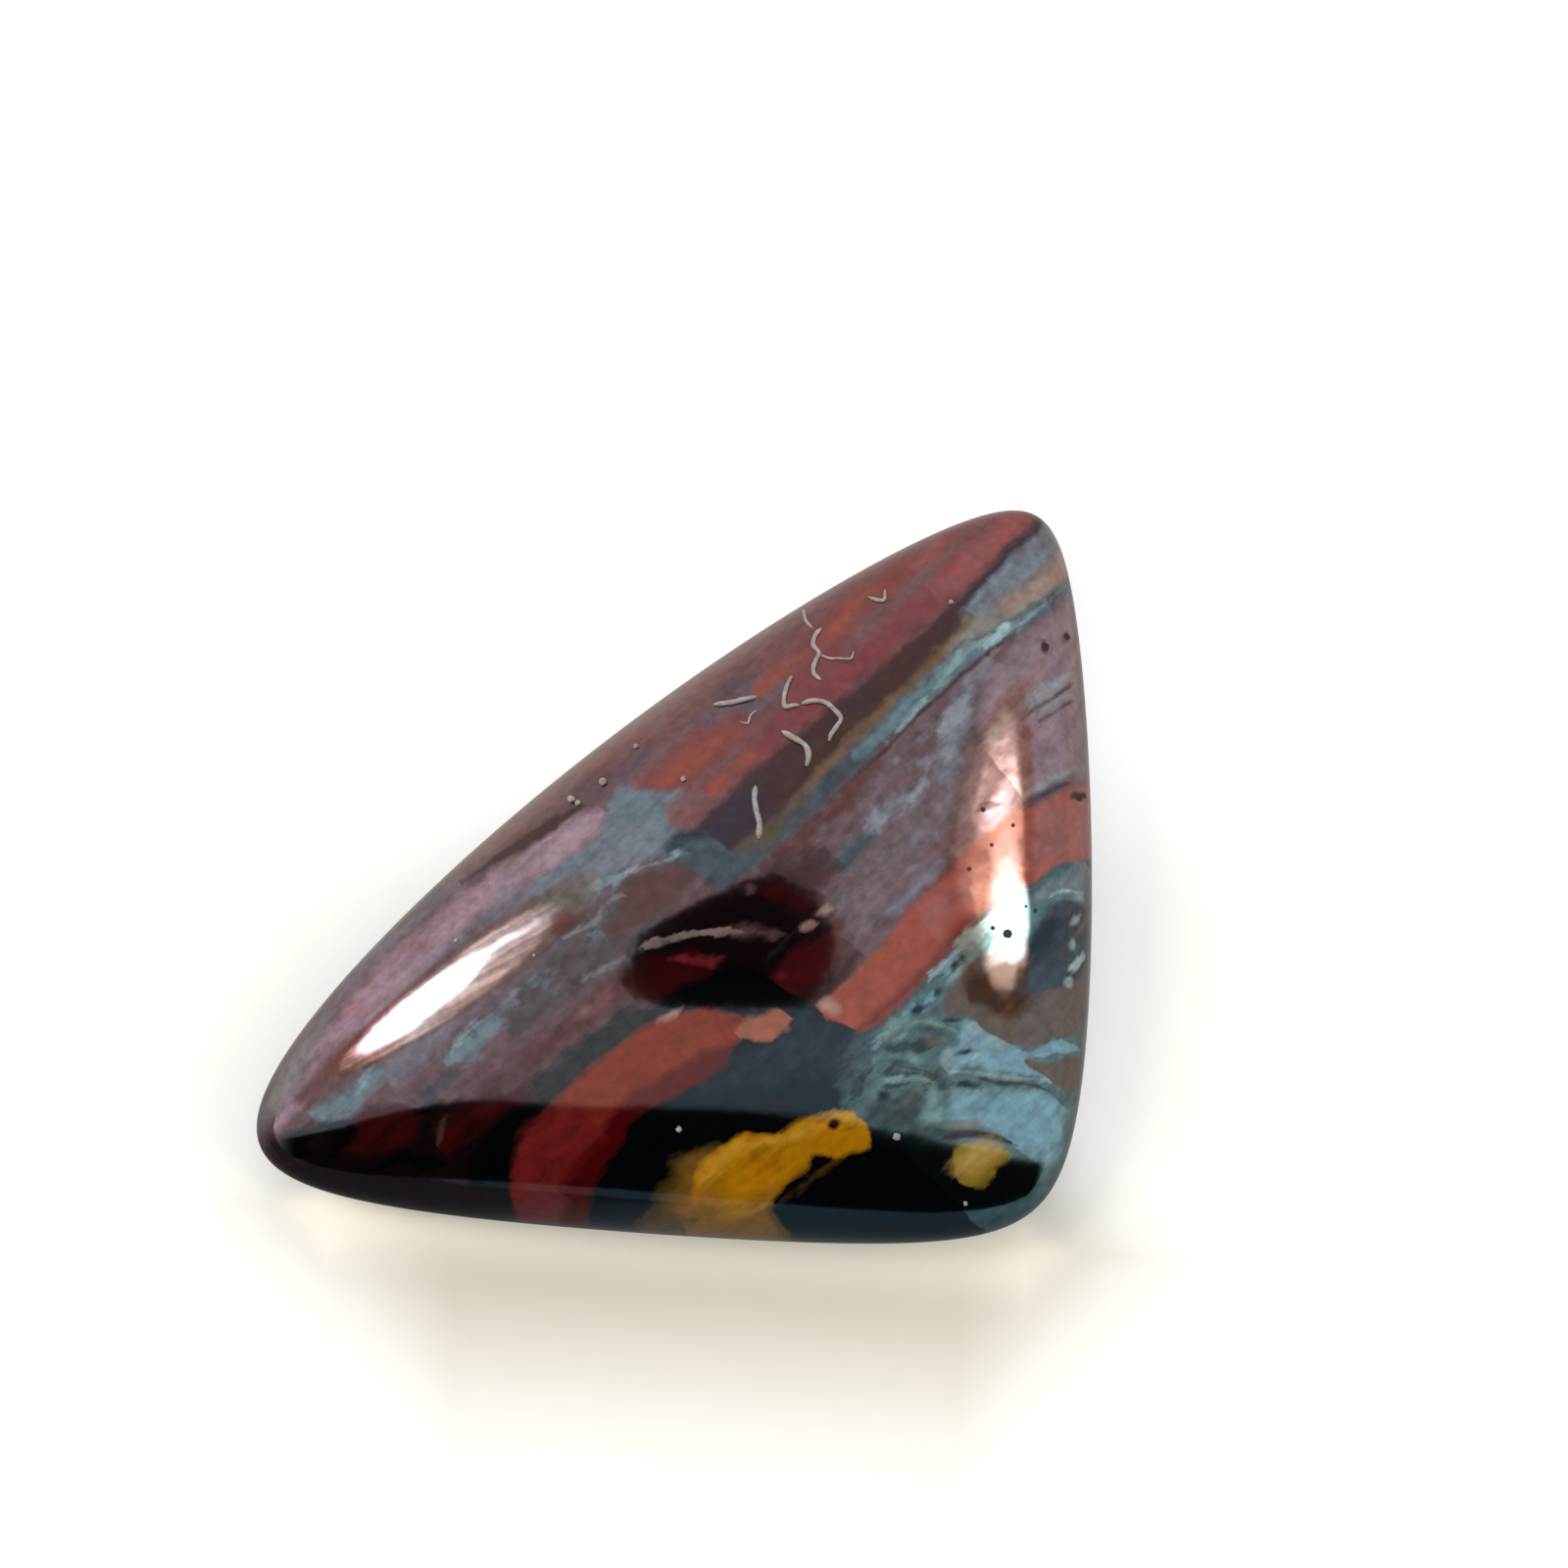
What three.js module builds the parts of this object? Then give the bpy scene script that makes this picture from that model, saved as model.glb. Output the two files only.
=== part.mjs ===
// A polished banded stone tablet: one freeform cabochon with a three-cornered outline, a smooth
// domed top, a thin upright edge and a flat back with a rounded rim. Millimetres, +Z up.
// The origin is the centre of the stone's extent, on the face it rests on. Seen from above, the
// blunt corner points to +X -Y, the long tip to -X and the upper corner to +X +Y.

import * as THREE from "three";

// Heights above the face that the stone rests on.
const EDGE_TOP = 1.0; // where the dome begins and the outline is widest
const DOME_RISE = 5.0; // from there to the crown

// The rim below the widest line, from the top down: how far in from the outline, and how high.
const RIM = [
  { inset: 0.03, height: 0.72 },
  { inset: 0.1, height: 0.42 },
  { inset: 0.27, height: 0.14 },
  { inset: 0.55, height: 0.0 },
];

// The three ground sides. Each has the direction it faces in degrees from +X, its distance from
// the drawing's centre, how much it bows outwards (one over its radius), and how strongly it
// pulls the outline towards itself.
const SIDES = [
  { facing: 127.8, distance: 5.32, bow: 0.0098, pull: 1.0 },
  { facing: 0.35, distance: 13.463, bow: 0.0078, pull: 0.656 },
  { facing: -93.67, distance: 12.836, bow: -0.0035, pull: 1.21 },
];
const CORNER_LEVEL = 4.827; // the larger this is, the rounder the three corners
const CROWN_LEAN = 0.036; // per millimetre, moves the crown towards -X

// How finely the surface is drawn.
const AROUND = 96; // points round the outline
const UP_THE_DOME = 20; // bands from the crown to the edge
const TURN_SHARE = 0.5; // share of the points that follows the turning, the rest the length

// How closely the outline is worked out before its points are spread.
const REACH = 30; // further than any point of the outline from the crown
const HALVINGS = 40;
const DIRECTIONS = 1440;
const LEAST_DEPTH = 1e-6; // stands for a depth of nothing where a logarithm is taken

const STONE_COLOUR = 0x6b3f42;
const STONE_ROUGHNESS = 0.08;
const STONE_METALNESS = 0.35;

// How deep a point lies inside all three sides at once: 0 on the outline, most at the crown.
function depthInside(point) {
  let sum = 0;
  for (const { facing, distance, bow, pull } of SIDES) {
    const outwards = new THREE.Vector2(1, 0).rotateAround(
      new THREE.Vector2(0, 0),
      THREE.MathUtils.degToRad(facing),
    );
    const past = point.dot(outwards) - distance;
    const along = outwards.cross(point);
    const depth = -(past + 0.5 * bow * along * along);
    sum += pull * Math.log(Math.max(depth, LEAST_DEPTH));
  }
  return (Math.exp(sum) - Math.exp(CORNER_LEVEL)) * Math.exp(-CROWN_LEAN * point.x);
}

// The deepest point, found by steps along X and Y that are halved when none of them helps.
function findCrown() {
  const crown = new THREE.Vector2(0, 0);
  let step = 4;
  while (step > 1e-4) {
    const steps = [
      new THREE.Vector2(step, 0),
      new THREE.Vector2(-step, 0),
      new THREE.Vector2(0, step),
      new THREE.Vector2(0, -step),
    ];
    const better = steps.find((s) => depthInside(crown.clone().add(s)) > depthInside(crown));
    if (better) {
      crown.add(better);
    } else {
      step /= 2;
    }
  }
  return crown;
}

const crown = findCrown();
const crownDepth = depthInside(crown);

// Where the outline lies in one direction from the crown.
function outlinePoint(angle) {
  const outwards = new THREE.Vector2(Math.cos(angle), Math.sin(angle));
  let near = 0;
  let far = REACH;
  for (let i = 0; i < HALVINGS; i++) {
    const middle = (near + far) / 2;
    const inside = depthInside(crown.clone().addScaledVector(outwards, middle)) > 0;
    near = inside ? middle : near;
    far = inside ? far : middle;
  }
  return crown.clone().addScaledVector(outwards, near);
}

// Points round the outline, anticlockwise, closer together where it turns.
function spreadOutline(count) {
  const fine = [];
  for (let i = 0; i < DIRECTIONS; i++) {
    fine.push(outlinePoint((2 * Math.PI * i) / DIRECTIONS));
  }
  const at = (i) => fine[(i + DIRECTIONS) % DIRECTIONS];
  const total = (list) => list.reduce((sum, value) => sum + value, 0);

  const lengths = fine.map((p, i) => p.distanceTo(at(i + 1)));
  const turns = fine.map((p, i) => {
    const before = p.clone().sub(at(i - 1)).normalize();
    const after = at(i + 1).clone().sub(p).normalize();
    return Math.abs(Math.asin(before.cross(after)));
  });
  const wholeLength = total(lengths);
  const wholeTurn = total(turns);

  const points = [];
  let passed = 0;
  for (let i = 0; i < DIRECTIONS; i++) {
    const lengthShare = lengths[i] / wholeLength;
    const turnShare = turns[i] / wholeTurn;
    const share = (1 - TURN_SHARE) * lengthShare + TURN_SHARE * turnShare;
    while (points.length < count && points.length / count <= passed + share) {
      const part = (points.length / count - passed) / share;
      points.push(fine[i].clone().lerp(at(i + 1), part));
    }
    passed += share;
  }
  return points;
}

// The outline moved inwards by a distance, square to itself.
function insetOutline(outline, inset) {
  return outline.map((p, i) => {
    const before = outline.at(i - 1);
    const after = outline[(i + 1) % outline.length];
    const along = after.clone().sub(before).normalize();
    return new THREE.Vector2(p.x - along.y * inset, p.y + along.x * inset);
  });
}

function ringAtHeight(outline, height) {
  return outline.map((p) => new THREE.Vector3(p.x, p.y, height));
}

// A ring on the dome, at a share of the way from the crown to the outline.
function domeRing(outline, reach) {
  return outline.map((p) => {
    const place = crown.clone().lerp(p, reach);
    const share = Math.max(depthInside(place) / crownDepth, 0);
    return new THREE.Vector3(place.x, place.y, EDGE_TOP + DOME_RISE * Math.sqrt(share));
  });
}

// Every ring of the surface, from just below the crown down to the resting face.
function surfaceRings(outline) {
  const rings = [];
  for (let i = 1; i < UP_THE_DOME; i++) {
    rings.push(domeRing(outline, Math.sin(((i / UP_THE_DOME) * Math.PI) / 2)));
  }
  rings.push(ringAtHeight(outline, EDGE_TOP));
  for (const { inset, height } of RIM) {
    rings.push(ringAtHeight(insetOutline(outline, inset), height));
  }
  return rings;
}

// One closed surface: a fan at the crown, a band between each two rings, and a fan underneath.
function stoneGeometry() {
  const rings = surfaceRings(spreadOutline(AROUND));
  const points = [
    new THREE.Vector3(crown.x, crown.y, EDGE_TOP + DOME_RISE),
    ...rings.flat(),
    new THREE.Vector3(crown.x, crown.y, 0),
  ];
  const under = points.length - 1;
  const at = (ring, i) => 1 + ring * AROUND + (i % AROUND);
  const faces = [];
  for (let i = 0; i < AROUND; i++) {
    faces.push(0, at(0, i), at(0, i + 1));
    for (let ring = 0; ring < rings.length - 1; ring++) {
      faces.push(at(ring, i), at(ring + 1, i), at(ring + 1, i + 1));
      faces.push(at(ring, i), at(ring + 1, i + 1), at(ring, i + 1));
    }
    faces.push(under, at(rings.length - 1, i + 1), at(rings.length - 1, i));
  }
  const geometry = new THREE.BufferGeometry().setFromPoints(points);
  geometry.setIndex(faces);
  geometry.computeBoundingBox();
  const middle = geometry.boundingBox.getCenter(new THREE.Vector3());
  geometry.translate(-middle.x, -middle.y, 0);
  geometry.computeVertexNormals();
  return geometry;
}

const stone = new THREE.Mesh(
  stoneGeometry(),
  new THREE.MeshStandardMaterial({
    color: STONE_COLOUR,
    roughness: STONE_ROUGHNESS,
    metalness: STONE_METALNESS,
  }),
);
stone.name = "polished_stone";

const tablet = new THREE.Group();
tablet.name = "banded_stone_tablet";
tablet.add(stone);

export default tablet;
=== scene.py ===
# The looks of the banded stone tablet: its polished surface with every band, patch and pit, the
# lint and dust that lie on the polish, the pale table under it and the light round it.
# Shapes and markings are given in millimetres, and everything is built in metres.

import math
import random

import bmesh
import bpy
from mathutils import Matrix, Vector, noise


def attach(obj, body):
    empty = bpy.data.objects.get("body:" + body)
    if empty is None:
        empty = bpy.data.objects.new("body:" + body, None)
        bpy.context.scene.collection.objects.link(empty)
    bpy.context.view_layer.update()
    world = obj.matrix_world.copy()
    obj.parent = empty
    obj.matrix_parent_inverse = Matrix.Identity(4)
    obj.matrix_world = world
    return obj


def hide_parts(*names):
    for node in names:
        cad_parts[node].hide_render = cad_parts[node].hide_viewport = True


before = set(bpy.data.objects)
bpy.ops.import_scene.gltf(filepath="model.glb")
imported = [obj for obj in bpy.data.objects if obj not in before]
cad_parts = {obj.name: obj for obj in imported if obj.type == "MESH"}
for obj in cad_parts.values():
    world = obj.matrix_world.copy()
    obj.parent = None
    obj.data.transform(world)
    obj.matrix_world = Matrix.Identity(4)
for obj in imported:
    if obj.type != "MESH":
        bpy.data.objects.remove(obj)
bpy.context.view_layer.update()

MM = 0.001

# The stone's outline and dome, as the solid has them: three ground sides, each with the direction
# it faces, its distance, its bow and its pull, and the corners rounded between them.
EDGE_TOP = 1.0
DOME_RISE = 5.0
RIM = [(0.0, 1.0), (0.012, 0.86), (0.03, 0.72), (0.06, 0.56), (0.1, 0.42), (0.17, 0.27),
       (0.27, 0.14), (0.4, 0.05), (0.55, 0.0)]  # inset and height
SIDES = [(127.8, 5.32, 0.0098, 1.0), (0.35, 13.463, 0.0078, 0.656),
         (-93.67, 12.836, -0.0035, 1.21)]
CORNER_LEVEL = 4.827
CROWN_LEAN = 0.036
LEAST_DEPTH = 1e-6  # stands for a depth of nothing where a logarithm is taken

# How finely the surface is drawn.
AROUND = 420
UP_THE_DOME = 130
TURN_SHARE = 0.35  # of the points that follows the turning, the rest the length
DIRECTIONS = 1440
REACH = 30.0  # further than any point of the outline from the crown
HALVINGS = 40
UNDERNEATH = (0.8, 0.5, 0.25)  # the rings of the flat back, as shares of its outline

# The bands run up to the right, and lean back as they go down into the stone.
BAND_TURN = math.radians(42)
BAND_LEAN = 0.2

# What the light gives: how bright a white diffuse patch is, and how bright the sky that the polish
# mirrors. Plain polish mirrors a small share of it.
DIFFUSE_LIGHT = 1.45
VEIL = 0.75
PLAIN_POLISH = 0.045

# How the share of metal in the surface follows from how much it mirrors and scatters.
MOST_METAL = 0.95
SCATTER_WEIGHT = 0.8
LEAST_SHINE = 0.04

# The camera looks steeply down at the table, from in front.
CAMERA_ELEVATION = math.radians(84)
CAMERA_DISTANCE = 140.0
CAMERA_AIM = (3.5, 2.97, 0.0)
FRAME_WIDTH = 50.0


def depth_inside(x, y):
    """How deep a point lies inside the outline: 0 on it, most at the crown."""
    total = 0.0
    for facing, distance, bow, pull in SIDES:
        angle = math.radians(facing)
        past = x * math.cos(angle) + y * math.sin(angle) - distance
        along = y * math.cos(angle) - x * math.sin(angle)
        total += pull * math.log(max(-(past + 0.5 * bow * along * along), LEAST_DEPTH))
    return (math.exp(total) - math.exp(CORNER_LEVEL)) * math.exp(-CROWN_LEAN * x)


def find_crown():
    """The deepest point, found by steps that are halved when none of them helps."""
    x, y, step = 0.0, 0.0, 4.0
    while step > 1e-4:
        steps = [(step, 0), (-step, 0), (0, step), (0, -step)]
        best = max(steps, key=lambda s: depth_inside(x + s[0], y + s[1]))
        if depth_inside(x + best[0], y + best[1]) > depth_inside(x, y):
            x, y = x + best[0], y + best[1]
        else:
            step /= 2
    return x, y


CROWN = find_crown()
CROWN_DEPTH = depth_inside(*CROWN)


def dome_height(x, y):
    """The height of the polished top over a point of the plan, in millimetres."""
    share = max(depth_inside(x, y) / CROWN_DEPTH, 0.0)
    return EDGE_TOP + DOME_RISE * math.sqrt(share)


def outline_point(angle):
    """Where the outline lies in one direction from the crown."""
    near, far = 0.0, REACH
    for _ in range(HALVINGS):
        middle = (near + far) / 2
        x = CROWN[0] + middle * math.cos(angle)
        y = CROWN[1] + middle * math.sin(angle)
        if depth_inside(x, y) > 0:
            near = middle
        else:
            far = middle
    return Vector((CROWN[0] + near * math.cos(angle), CROWN[1] + near * math.sin(angle)))


def spread_outline(count):
    """Points round the outline, anticlockwise, closer together where it turns."""
    fine = [outline_point(2 * math.pi * i / DIRECTIONS) for i in range(DIRECTIONS)]
    lengths = []
    turns = []
    for i, point in enumerate(fine):
        after = fine[(i + 1) % DIRECTIONS] - point
        lengths.append(after.length)
        turns.append(abs((point - fine[i - 1]).angle_signed(after)))
    points = []
    passed = 0.0
    for i, point in enumerate(fine):
        share = (1 - TURN_SHARE) * lengths[i] / sum(lengths) + TURN_SHARE * turns[i] / sum(turns)
        while len(points) < count and len(points) / count <= passed + share:
            part = (len(points) / count - passed) / share
            points.append(point.lerp(fine[(i + 1) % DIRECTIONS], part))
        passed += share
    return points


OUTLINE = spread_outline(AROUND)
MIDDLE = Vector(((min(p.x for p in OUTLINE) + max(p.x for p in OUTLINE)) / 2,
                 (min(p.y for p in OUTLINE) + max(p.y for p in OUTLINE)) / 2, 0.0))


def to_frame(x, y, z):
    """A point of the drawing, in millimetres, as a point of the frame, in metres."""
    return (Vector((x, y, z)) - MIDDLE) * MM


def put_in_scene(name, data):
    thing = bpy.data.objects.new(name, data)
    bpy.context.scene.collection.objects.link(thing)
    return thing


def new_piece(name, points, faces):
    """A smooth-shaded mesh object from points in metres."""
    mesh = bpy.data.meshes.new(name)
    mesh.from_pydata(points, [], faces)
    mesh.validate()
    mesh.shade_smooth()
    return put_in_scene(name, mesh)


def make_stone():
    """The whole surface: a fan at the crown, the dome, the rim and the flat back."""
    rings = []
    for i in range(1, UP_THE_DOME):
        reach = math.sin(i / UP_THE_DOME * math.pi / 2)
        ring = []
        for p in OUTLINE:
            x = CROWN[0] + (p.x - CROWN[0]) * reach
            y = CROWN[1] + (p.y - CROWN[1]) * reach
            ring.append((x, y, dome_height(x, y)))
        rings.append(ring)
    for inset, height in RIM:
        ring = []
        for i, p in enumerate(OUTLINE):
            along = (OUTLINE[(i + 1) % AROUND] - OUTLINE[i - 1]).normalized()
            ring.append((p.x - along.y * inset, p.y + along.x * inset, height))
        rings.append(ring)
    for reach in UNDERNEATH:
        ring = [(CROWN[0] + (x - CROWN[0]) * reach, CROWN[1] + (y - CROWN[1]) * reach, 0.0)
                for x, y, _ in rings[-1]]
        rings.append(ring)
    points = [(*CROWN, EDGE_TOP + DOME_RISE)]
    points += [p for ring in rings for p in ring]
    points.append((*CROWN, 0.0))
    faces = []
    for i in range(AROUND):
        after = (i + 1) % AROUND
        faces.append((0, 1 + i, 1 + after))
        for ring in range(len(rings) - 1):
            upper = 1 + ring * AROUND
            lower = upper + AROUND
            faces.append((upper + i, lower + i, lower + after, upper + after))
        last = 1 + (len(rings) - 1) * AROUND
        faces.append((len(points) - 1, last + after, last + i))
    return new_piece("polished_surface", [to_frame(*p) for p in points], faces)


class Nodes:
    """Makes nodes in one tree. Each call returns the socket that the new node gives."""

    def __init__(self, tree):
        self.tree = tree
        self.tree.nodes.clear()

    def make(self, kind, **settings):
        node = self.tree.nodes.new(kind)
        for name, value in settings.items():
            setattr(node, name, value)
        return node

    def feed(self, socket, value):
        if isinstance(value, bpy.types.NodeSocket):
            self.tree.links.new(value, socket)
        else:
            socket.default_value = value

    def shader(self, values):
        """A Principled shader with values or links on its own sockets, by their names."""
        node = self.make("ShaderNodeBsdfPrincipled")
        for name, value in values.items():
            self.feed(node.inputs[name], value)
        return node.outputs[0]

    def math(self, operation, *values):
        node = self.make("ShaderNodeMath", operation=operation)
        for socket, value in zip(node.inputs, values):
            self.feed(socket, value)
        return node.outputs[0]

    def vector(self, operation, *values):
        node = self.make("ShaderNodeVectorMath", operation=operation)
        sockets = [node.inputs[0], node.inputs[3 if operation == "SCALE" else 1]]
        for socket, value in zip(sockets, values):
            self.feed(socket, value)
        return node.outputs[1 if operation in ("DOT_PRODUCT", "LENGTH") else 0]

    def combine(self, x, y, z):
        node = self.make("ShaderNodeCombineXYZ")
        for socket, value in zip(node.inputs, (x, y, z)):
            self.feed(socket, value)
        return node.outputs[0]

    def separate(self, vector):
        node = self.make("ShaderNodeSeparateXYZ")
        self.feed(node.inputs[0], vector)
        return node.outputs

    def noise(self, place, scale, detail=2.0, roughness=0.5, colour=False):
        node = self.make("ShaderNodeTexNoise")
        self.feed(node.inputs["Vector"], place)
        node.inputs["Scale"].default_value = scale
        node.inputs["Detail"].default_value = detail
        node.inputs["Roughness"].default_value = roughness
        return node.outputs[1 if colour else 0]

    def ramp(self, value, half_width):
        """A straight ramp: 0 up to minus the half width, 1 from the half width on."""
        node = self.make("ShaderNodeMath", operation="MULTIPLY_ADD", use_clamp=True)
        for socket, number in zip(node.inputs, (value, 0.5 / half_width, 0.5)):
            self.feed(socket, number)
        return node.outputs[0]

    def step(self, value, low, high, at_low=0.0, at_high=1.0):
        """A smooth step: at_low up to low, at_high from high on."""
        node = self.make("ShaderNodeMapRange", interpolation_type="SMOOTHSTEP")
        for socket, number in zip(node.inputs, (value, low, high, at_low, at_high)):
            self.feed(socket, number)
        return node.outputs[0]

    def mix(self, share, first, second):
        """Between two numbers or two colours."""
        numbers = [isinstance(v, (int, float)) or getattr(v, "type", "RGBA") == "VALUE"
                   for v in (first, second)]
        is_colour = not all(numbers)
        node = self.make("ShaderNodeMix", data_type="RGBA" if is_colour else "FLOAT")
        base = 6 if is_colour else 2
        self.feed(node.inputs[0], share)
        self.feed(node.inputs[base], first)
        self.feed(node.inputs[base + 1], second)
        return node.outputs[2 if is_colour else 0]

    def either(self, share, first, second):
        """The first shader by its share and the second by the rest. Where a share is nothing, that
        side isn't worked out."""
        node = self.make("ShaderNodeMixShader")
        for socket, value in zip(node.inputs, (share, second, first)):
            self.feed(socket, value)
        return node.outputs[0]

    def turned(self, vector, degrees):
        """A vector turned about Z, anticlockwise."""
        node = self.make("ShaderNodeVectorRotate", rotation_type="Z_AXIS")
        self.feed(node.inputs["Vector"], vector)
        node.inputs["Angle"].default_value = math.radians(degrees)
        return node.outputs[0]

    def scale_colour(self, colour, factor):
        return self.vector("SCALE", colour, factor)

    def curve(self, value, points):
        """A smooth curve through points, all between 0 and 1."""
        node = self.make("ShaderNodeFloatCurve")
        self.feed(node.inputs["Value"], value)
        mapping = node.mapping
        mapping.extend = "HORIZONTAL"
        marks = mapping.curves[0].points
        for index, place in enumerate(points):
            mark = marks[index] if index < 2 else marks.new(*place)
            mark.location = place
            mark.handle_type = "AUTO_CLAMPED"
        mapping.update()
        return node.outputs[0]


def new_material(name):
    """A material, what makes its nodes, and the socket for its surface."""
    material = bpy.data.materials.new(name)
    material.use_nodes = True
    nodes = Nodes(material.node_tree)
    output = nodes.make("ShaderNodeOutputMaterial")
    return material, nodes, output.inputs["Surface"]


def linear(colour):
    """A colour given as red, green and blue up to 255, as the light it stands for."""
    parts = [c / 255 for c in colour]
    return [c / 12.92 if c <= 0.04045 else ((c + 0.055) / 1.055) ** 2.4 for c in parts]


def mineral(own, lit):
    """A kind of stone, from its own colour, seen where nothing bright is mirrored, and from its
    look under the veil of light. Gives what the stone scatters and what it mirrors as metal."""
    own, lit = linear(own), linear(lit)
    scattered = [c / DIFFUSE_LIGHT for c in own]
    mirrored = [max(bright - dark, 0.0) / VEIL for dark, bright in zip(own, lit)]
    plain = PLAIN_POLISH * (1 - metal_share(scattered, mirrored))
    mirrored = [max(c - plain, 0.0) for c in mirrored]
    return (*scattered, 1.0), (*mirrored, 1.0)


def metal_share(scattered, mirrored):
    """How much of the surface is metal, from how much it scatters and mirrors."""
    sent_back = sum(mirrored) + SCATTER_WEIGHT * sum(scattered) + LEAST_SHINE
    return MOST_METAL * sum(mirrored) / sent_back


# Each kind of stone: its own colour, and its look under the veil.
COLOURS = {
    "mauve": [(34, 10, 16), (107, 88, 94)],
    "mauve_grey": [(30, 12, 17), (112, 98, 104)],
    "mauve_right": [(60, 22, 32), (140, 118, 126)],
    "rose": [(62, 22, 25), (126, 90, 93)],
    "edge_pink": [(80, 37, 40), (134, 101, 102)],
    "red": [(116, 38, 38), (133, 73, 74)],
    "orange_red": [(134, 56, 47), (151, 84, 75)],
    "crimson": [(112, 26, 38), (132, 68, 76)],
    "rose_red": [(124, 50, 54), (150, 88, 90)],
    "purple_grey": [(50, 22, 38), (110, 88, 98)],
    "dark_brown": [(34, 13, 14), (75, 54, 56)],
    "dark_purple": [(18, 9, 14), (66, 58, 68)],
    "gold_line": [(84, 54, 22), (118, 94, 68)],
    "olive_grey": [(44, 34, 24), (92, 84, 72)],
    "tan": [(84, 68, 58), (140, 134, 130)],
    "orange_tan": [(126, 84, 66), (166, 136, 126)],
    "slate_blue": [(6, 5, 9), (114, 122, 133)],
    "pale_slate": [(10, 8, 12), (134, 138, 146)],
    "steel": [(5, 6, 9), (106, 120, 129)],
    "slate_violet": [(16, 8, 16), (116, 112, 124)],
    "slate": [(4, 5, 8), (44, 53, 61)],
    "slate_mid": [(4, 5, 8), (56, 63, 71)],
    "blue_shade": [(4, 6, 9), (66, 75, 85)],
    "dark_slate": [(3, 4, 6), (62, 64, 67)],
    "teal_dull": [(5, 6, 8), (76, 86, 93)],
    "teal": [(3, 5, 6), (100, 119, 127)],
    "teal_light": [(4, 8, 9), (130, 152, 158)],
    "teal_bright": [(14, 18, 18), (154, 180, 184)],
    "teal_field": [(2, 3, 4), (86, 110, 114)],
    "teal_green": [(2, 5, 4), (108, 140, 137)],
    "teal_pale": [(4, 7, 9), (112, 148, 163)],
    "teal_shade": [(2, 3, 4), (62, 77, 80)],
    "teal_speck": [(2, 3, 4), (44, 58, 62)],
    "brown": [(58, 45, 38), (104, 95, 92)],
    "brown_dark": [(38, 24, 18), (70, 54, 46)],
    "reddish": [(56, 16, 17), (98, 66, 66)],
    "maroon": [(36, 7, 12), (98, 72, 76)],
    "maroon_deep": [(52, 8, 12), (84, 58, 62)],
    "maroon_red": [(68, 13, 22), (100, 70, 72)],
    "vein_red": [(104, 28, 42), (132, 80, 85)],
    "vein_grey": [(128, 112, 108), (150, 138, 137)],
    "vein_brown": [(84, 66, 66), (112, 100, 102)],
    "band_red": [(134, 50, 40), (165, 88, 77)],
    "band_left": [(124, 42, 33), (146, 70, 59)],
    "band_deep": [(118, 32, 33), (137, 62, 56)],
    "band_pink": [(128, 60, 62), (162, 100, 98)],
    "deep_red": [(74, 5, 8), (104, 52, 52)],
    "band_low": [(88, 24, 28), (124, 66, 66)],
    "pale_pink": [(146, 112, 106), (184, 152, 144)],
    "tan_pink": [(150, 82, 66), (170, 106, 90)],
    "gold": [(195, 134, 12), (206, 152, 44)],
    "gold_bright": [(216, 164, 52), (226, 178, 80)],
    "gold_brown": [(144, 102, 38), (152, 114, 52)],
    "gold_dim": [(96, 76, 30), (106, 86, 46)],
    "gold_olive": [(146, 126, 44), (168, 148, 78)],
    "gold_pale": [(200, 170, 92), (214, 188, 120)],
    "gold_cap": [(122, 114, 98), (146, 140, 128)],
    "lilac": [(66, 24, 42), (158, 130, 144)],
    "grey": [(22, 14, 17), (90, 84, 88)],
    "grey_light": [(60, 54, 56), (130, 128, 132)],
    "ink_brown": [(34, 22, 14), (84, 70, 64)],
}
MINERALS = {kind: mineral(own, lit) for kind, (own, lit) in COLOURS.items()}

# The markings, from the deepest coat of paint to the top one. Each lies between an upper and a
# lower line, whose points are the place along the bands and the place across them.
TOP = 7.0
BOTTOM = -16.0


def band(kind, upper, lower, soft=0.1, ragged=0.12, cloud=None):
    """With a cloud, given as its number and from where to where it fades in, the band is patchy."""
    return {"kind": kind, "upper": upper, "lower": lower, "soft": soft, "ragged": ragged,
            "cloud": cloud}


def vein(kind, line, soft=0.06, ragged=0.06):
    """A thin band along a line. Each point also has half the width there, but for the two ends,
    where the vein comes to nothing."""
    line = [(*point, 0) if len(point) == 2 else point for point in line]
    upper = [(a, b + half) for a, b, half in line]
    lower = [(a, b - half) for a, b, half in line]
    return band(kind, upper, lower, soft, ragged)


def spot(kind, along, across, length, width, turn=0, soft=0.05, ragged=0.05):
    """A small oval. Its length lies along the bands, or turned from there by some degrees."""
    return {"kind": kind, "centre": (along, across), "size": (length / 2, width / 2),
            "turn": turn, "soft": soft, "ragged": ragged, "cloud": None}


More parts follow.
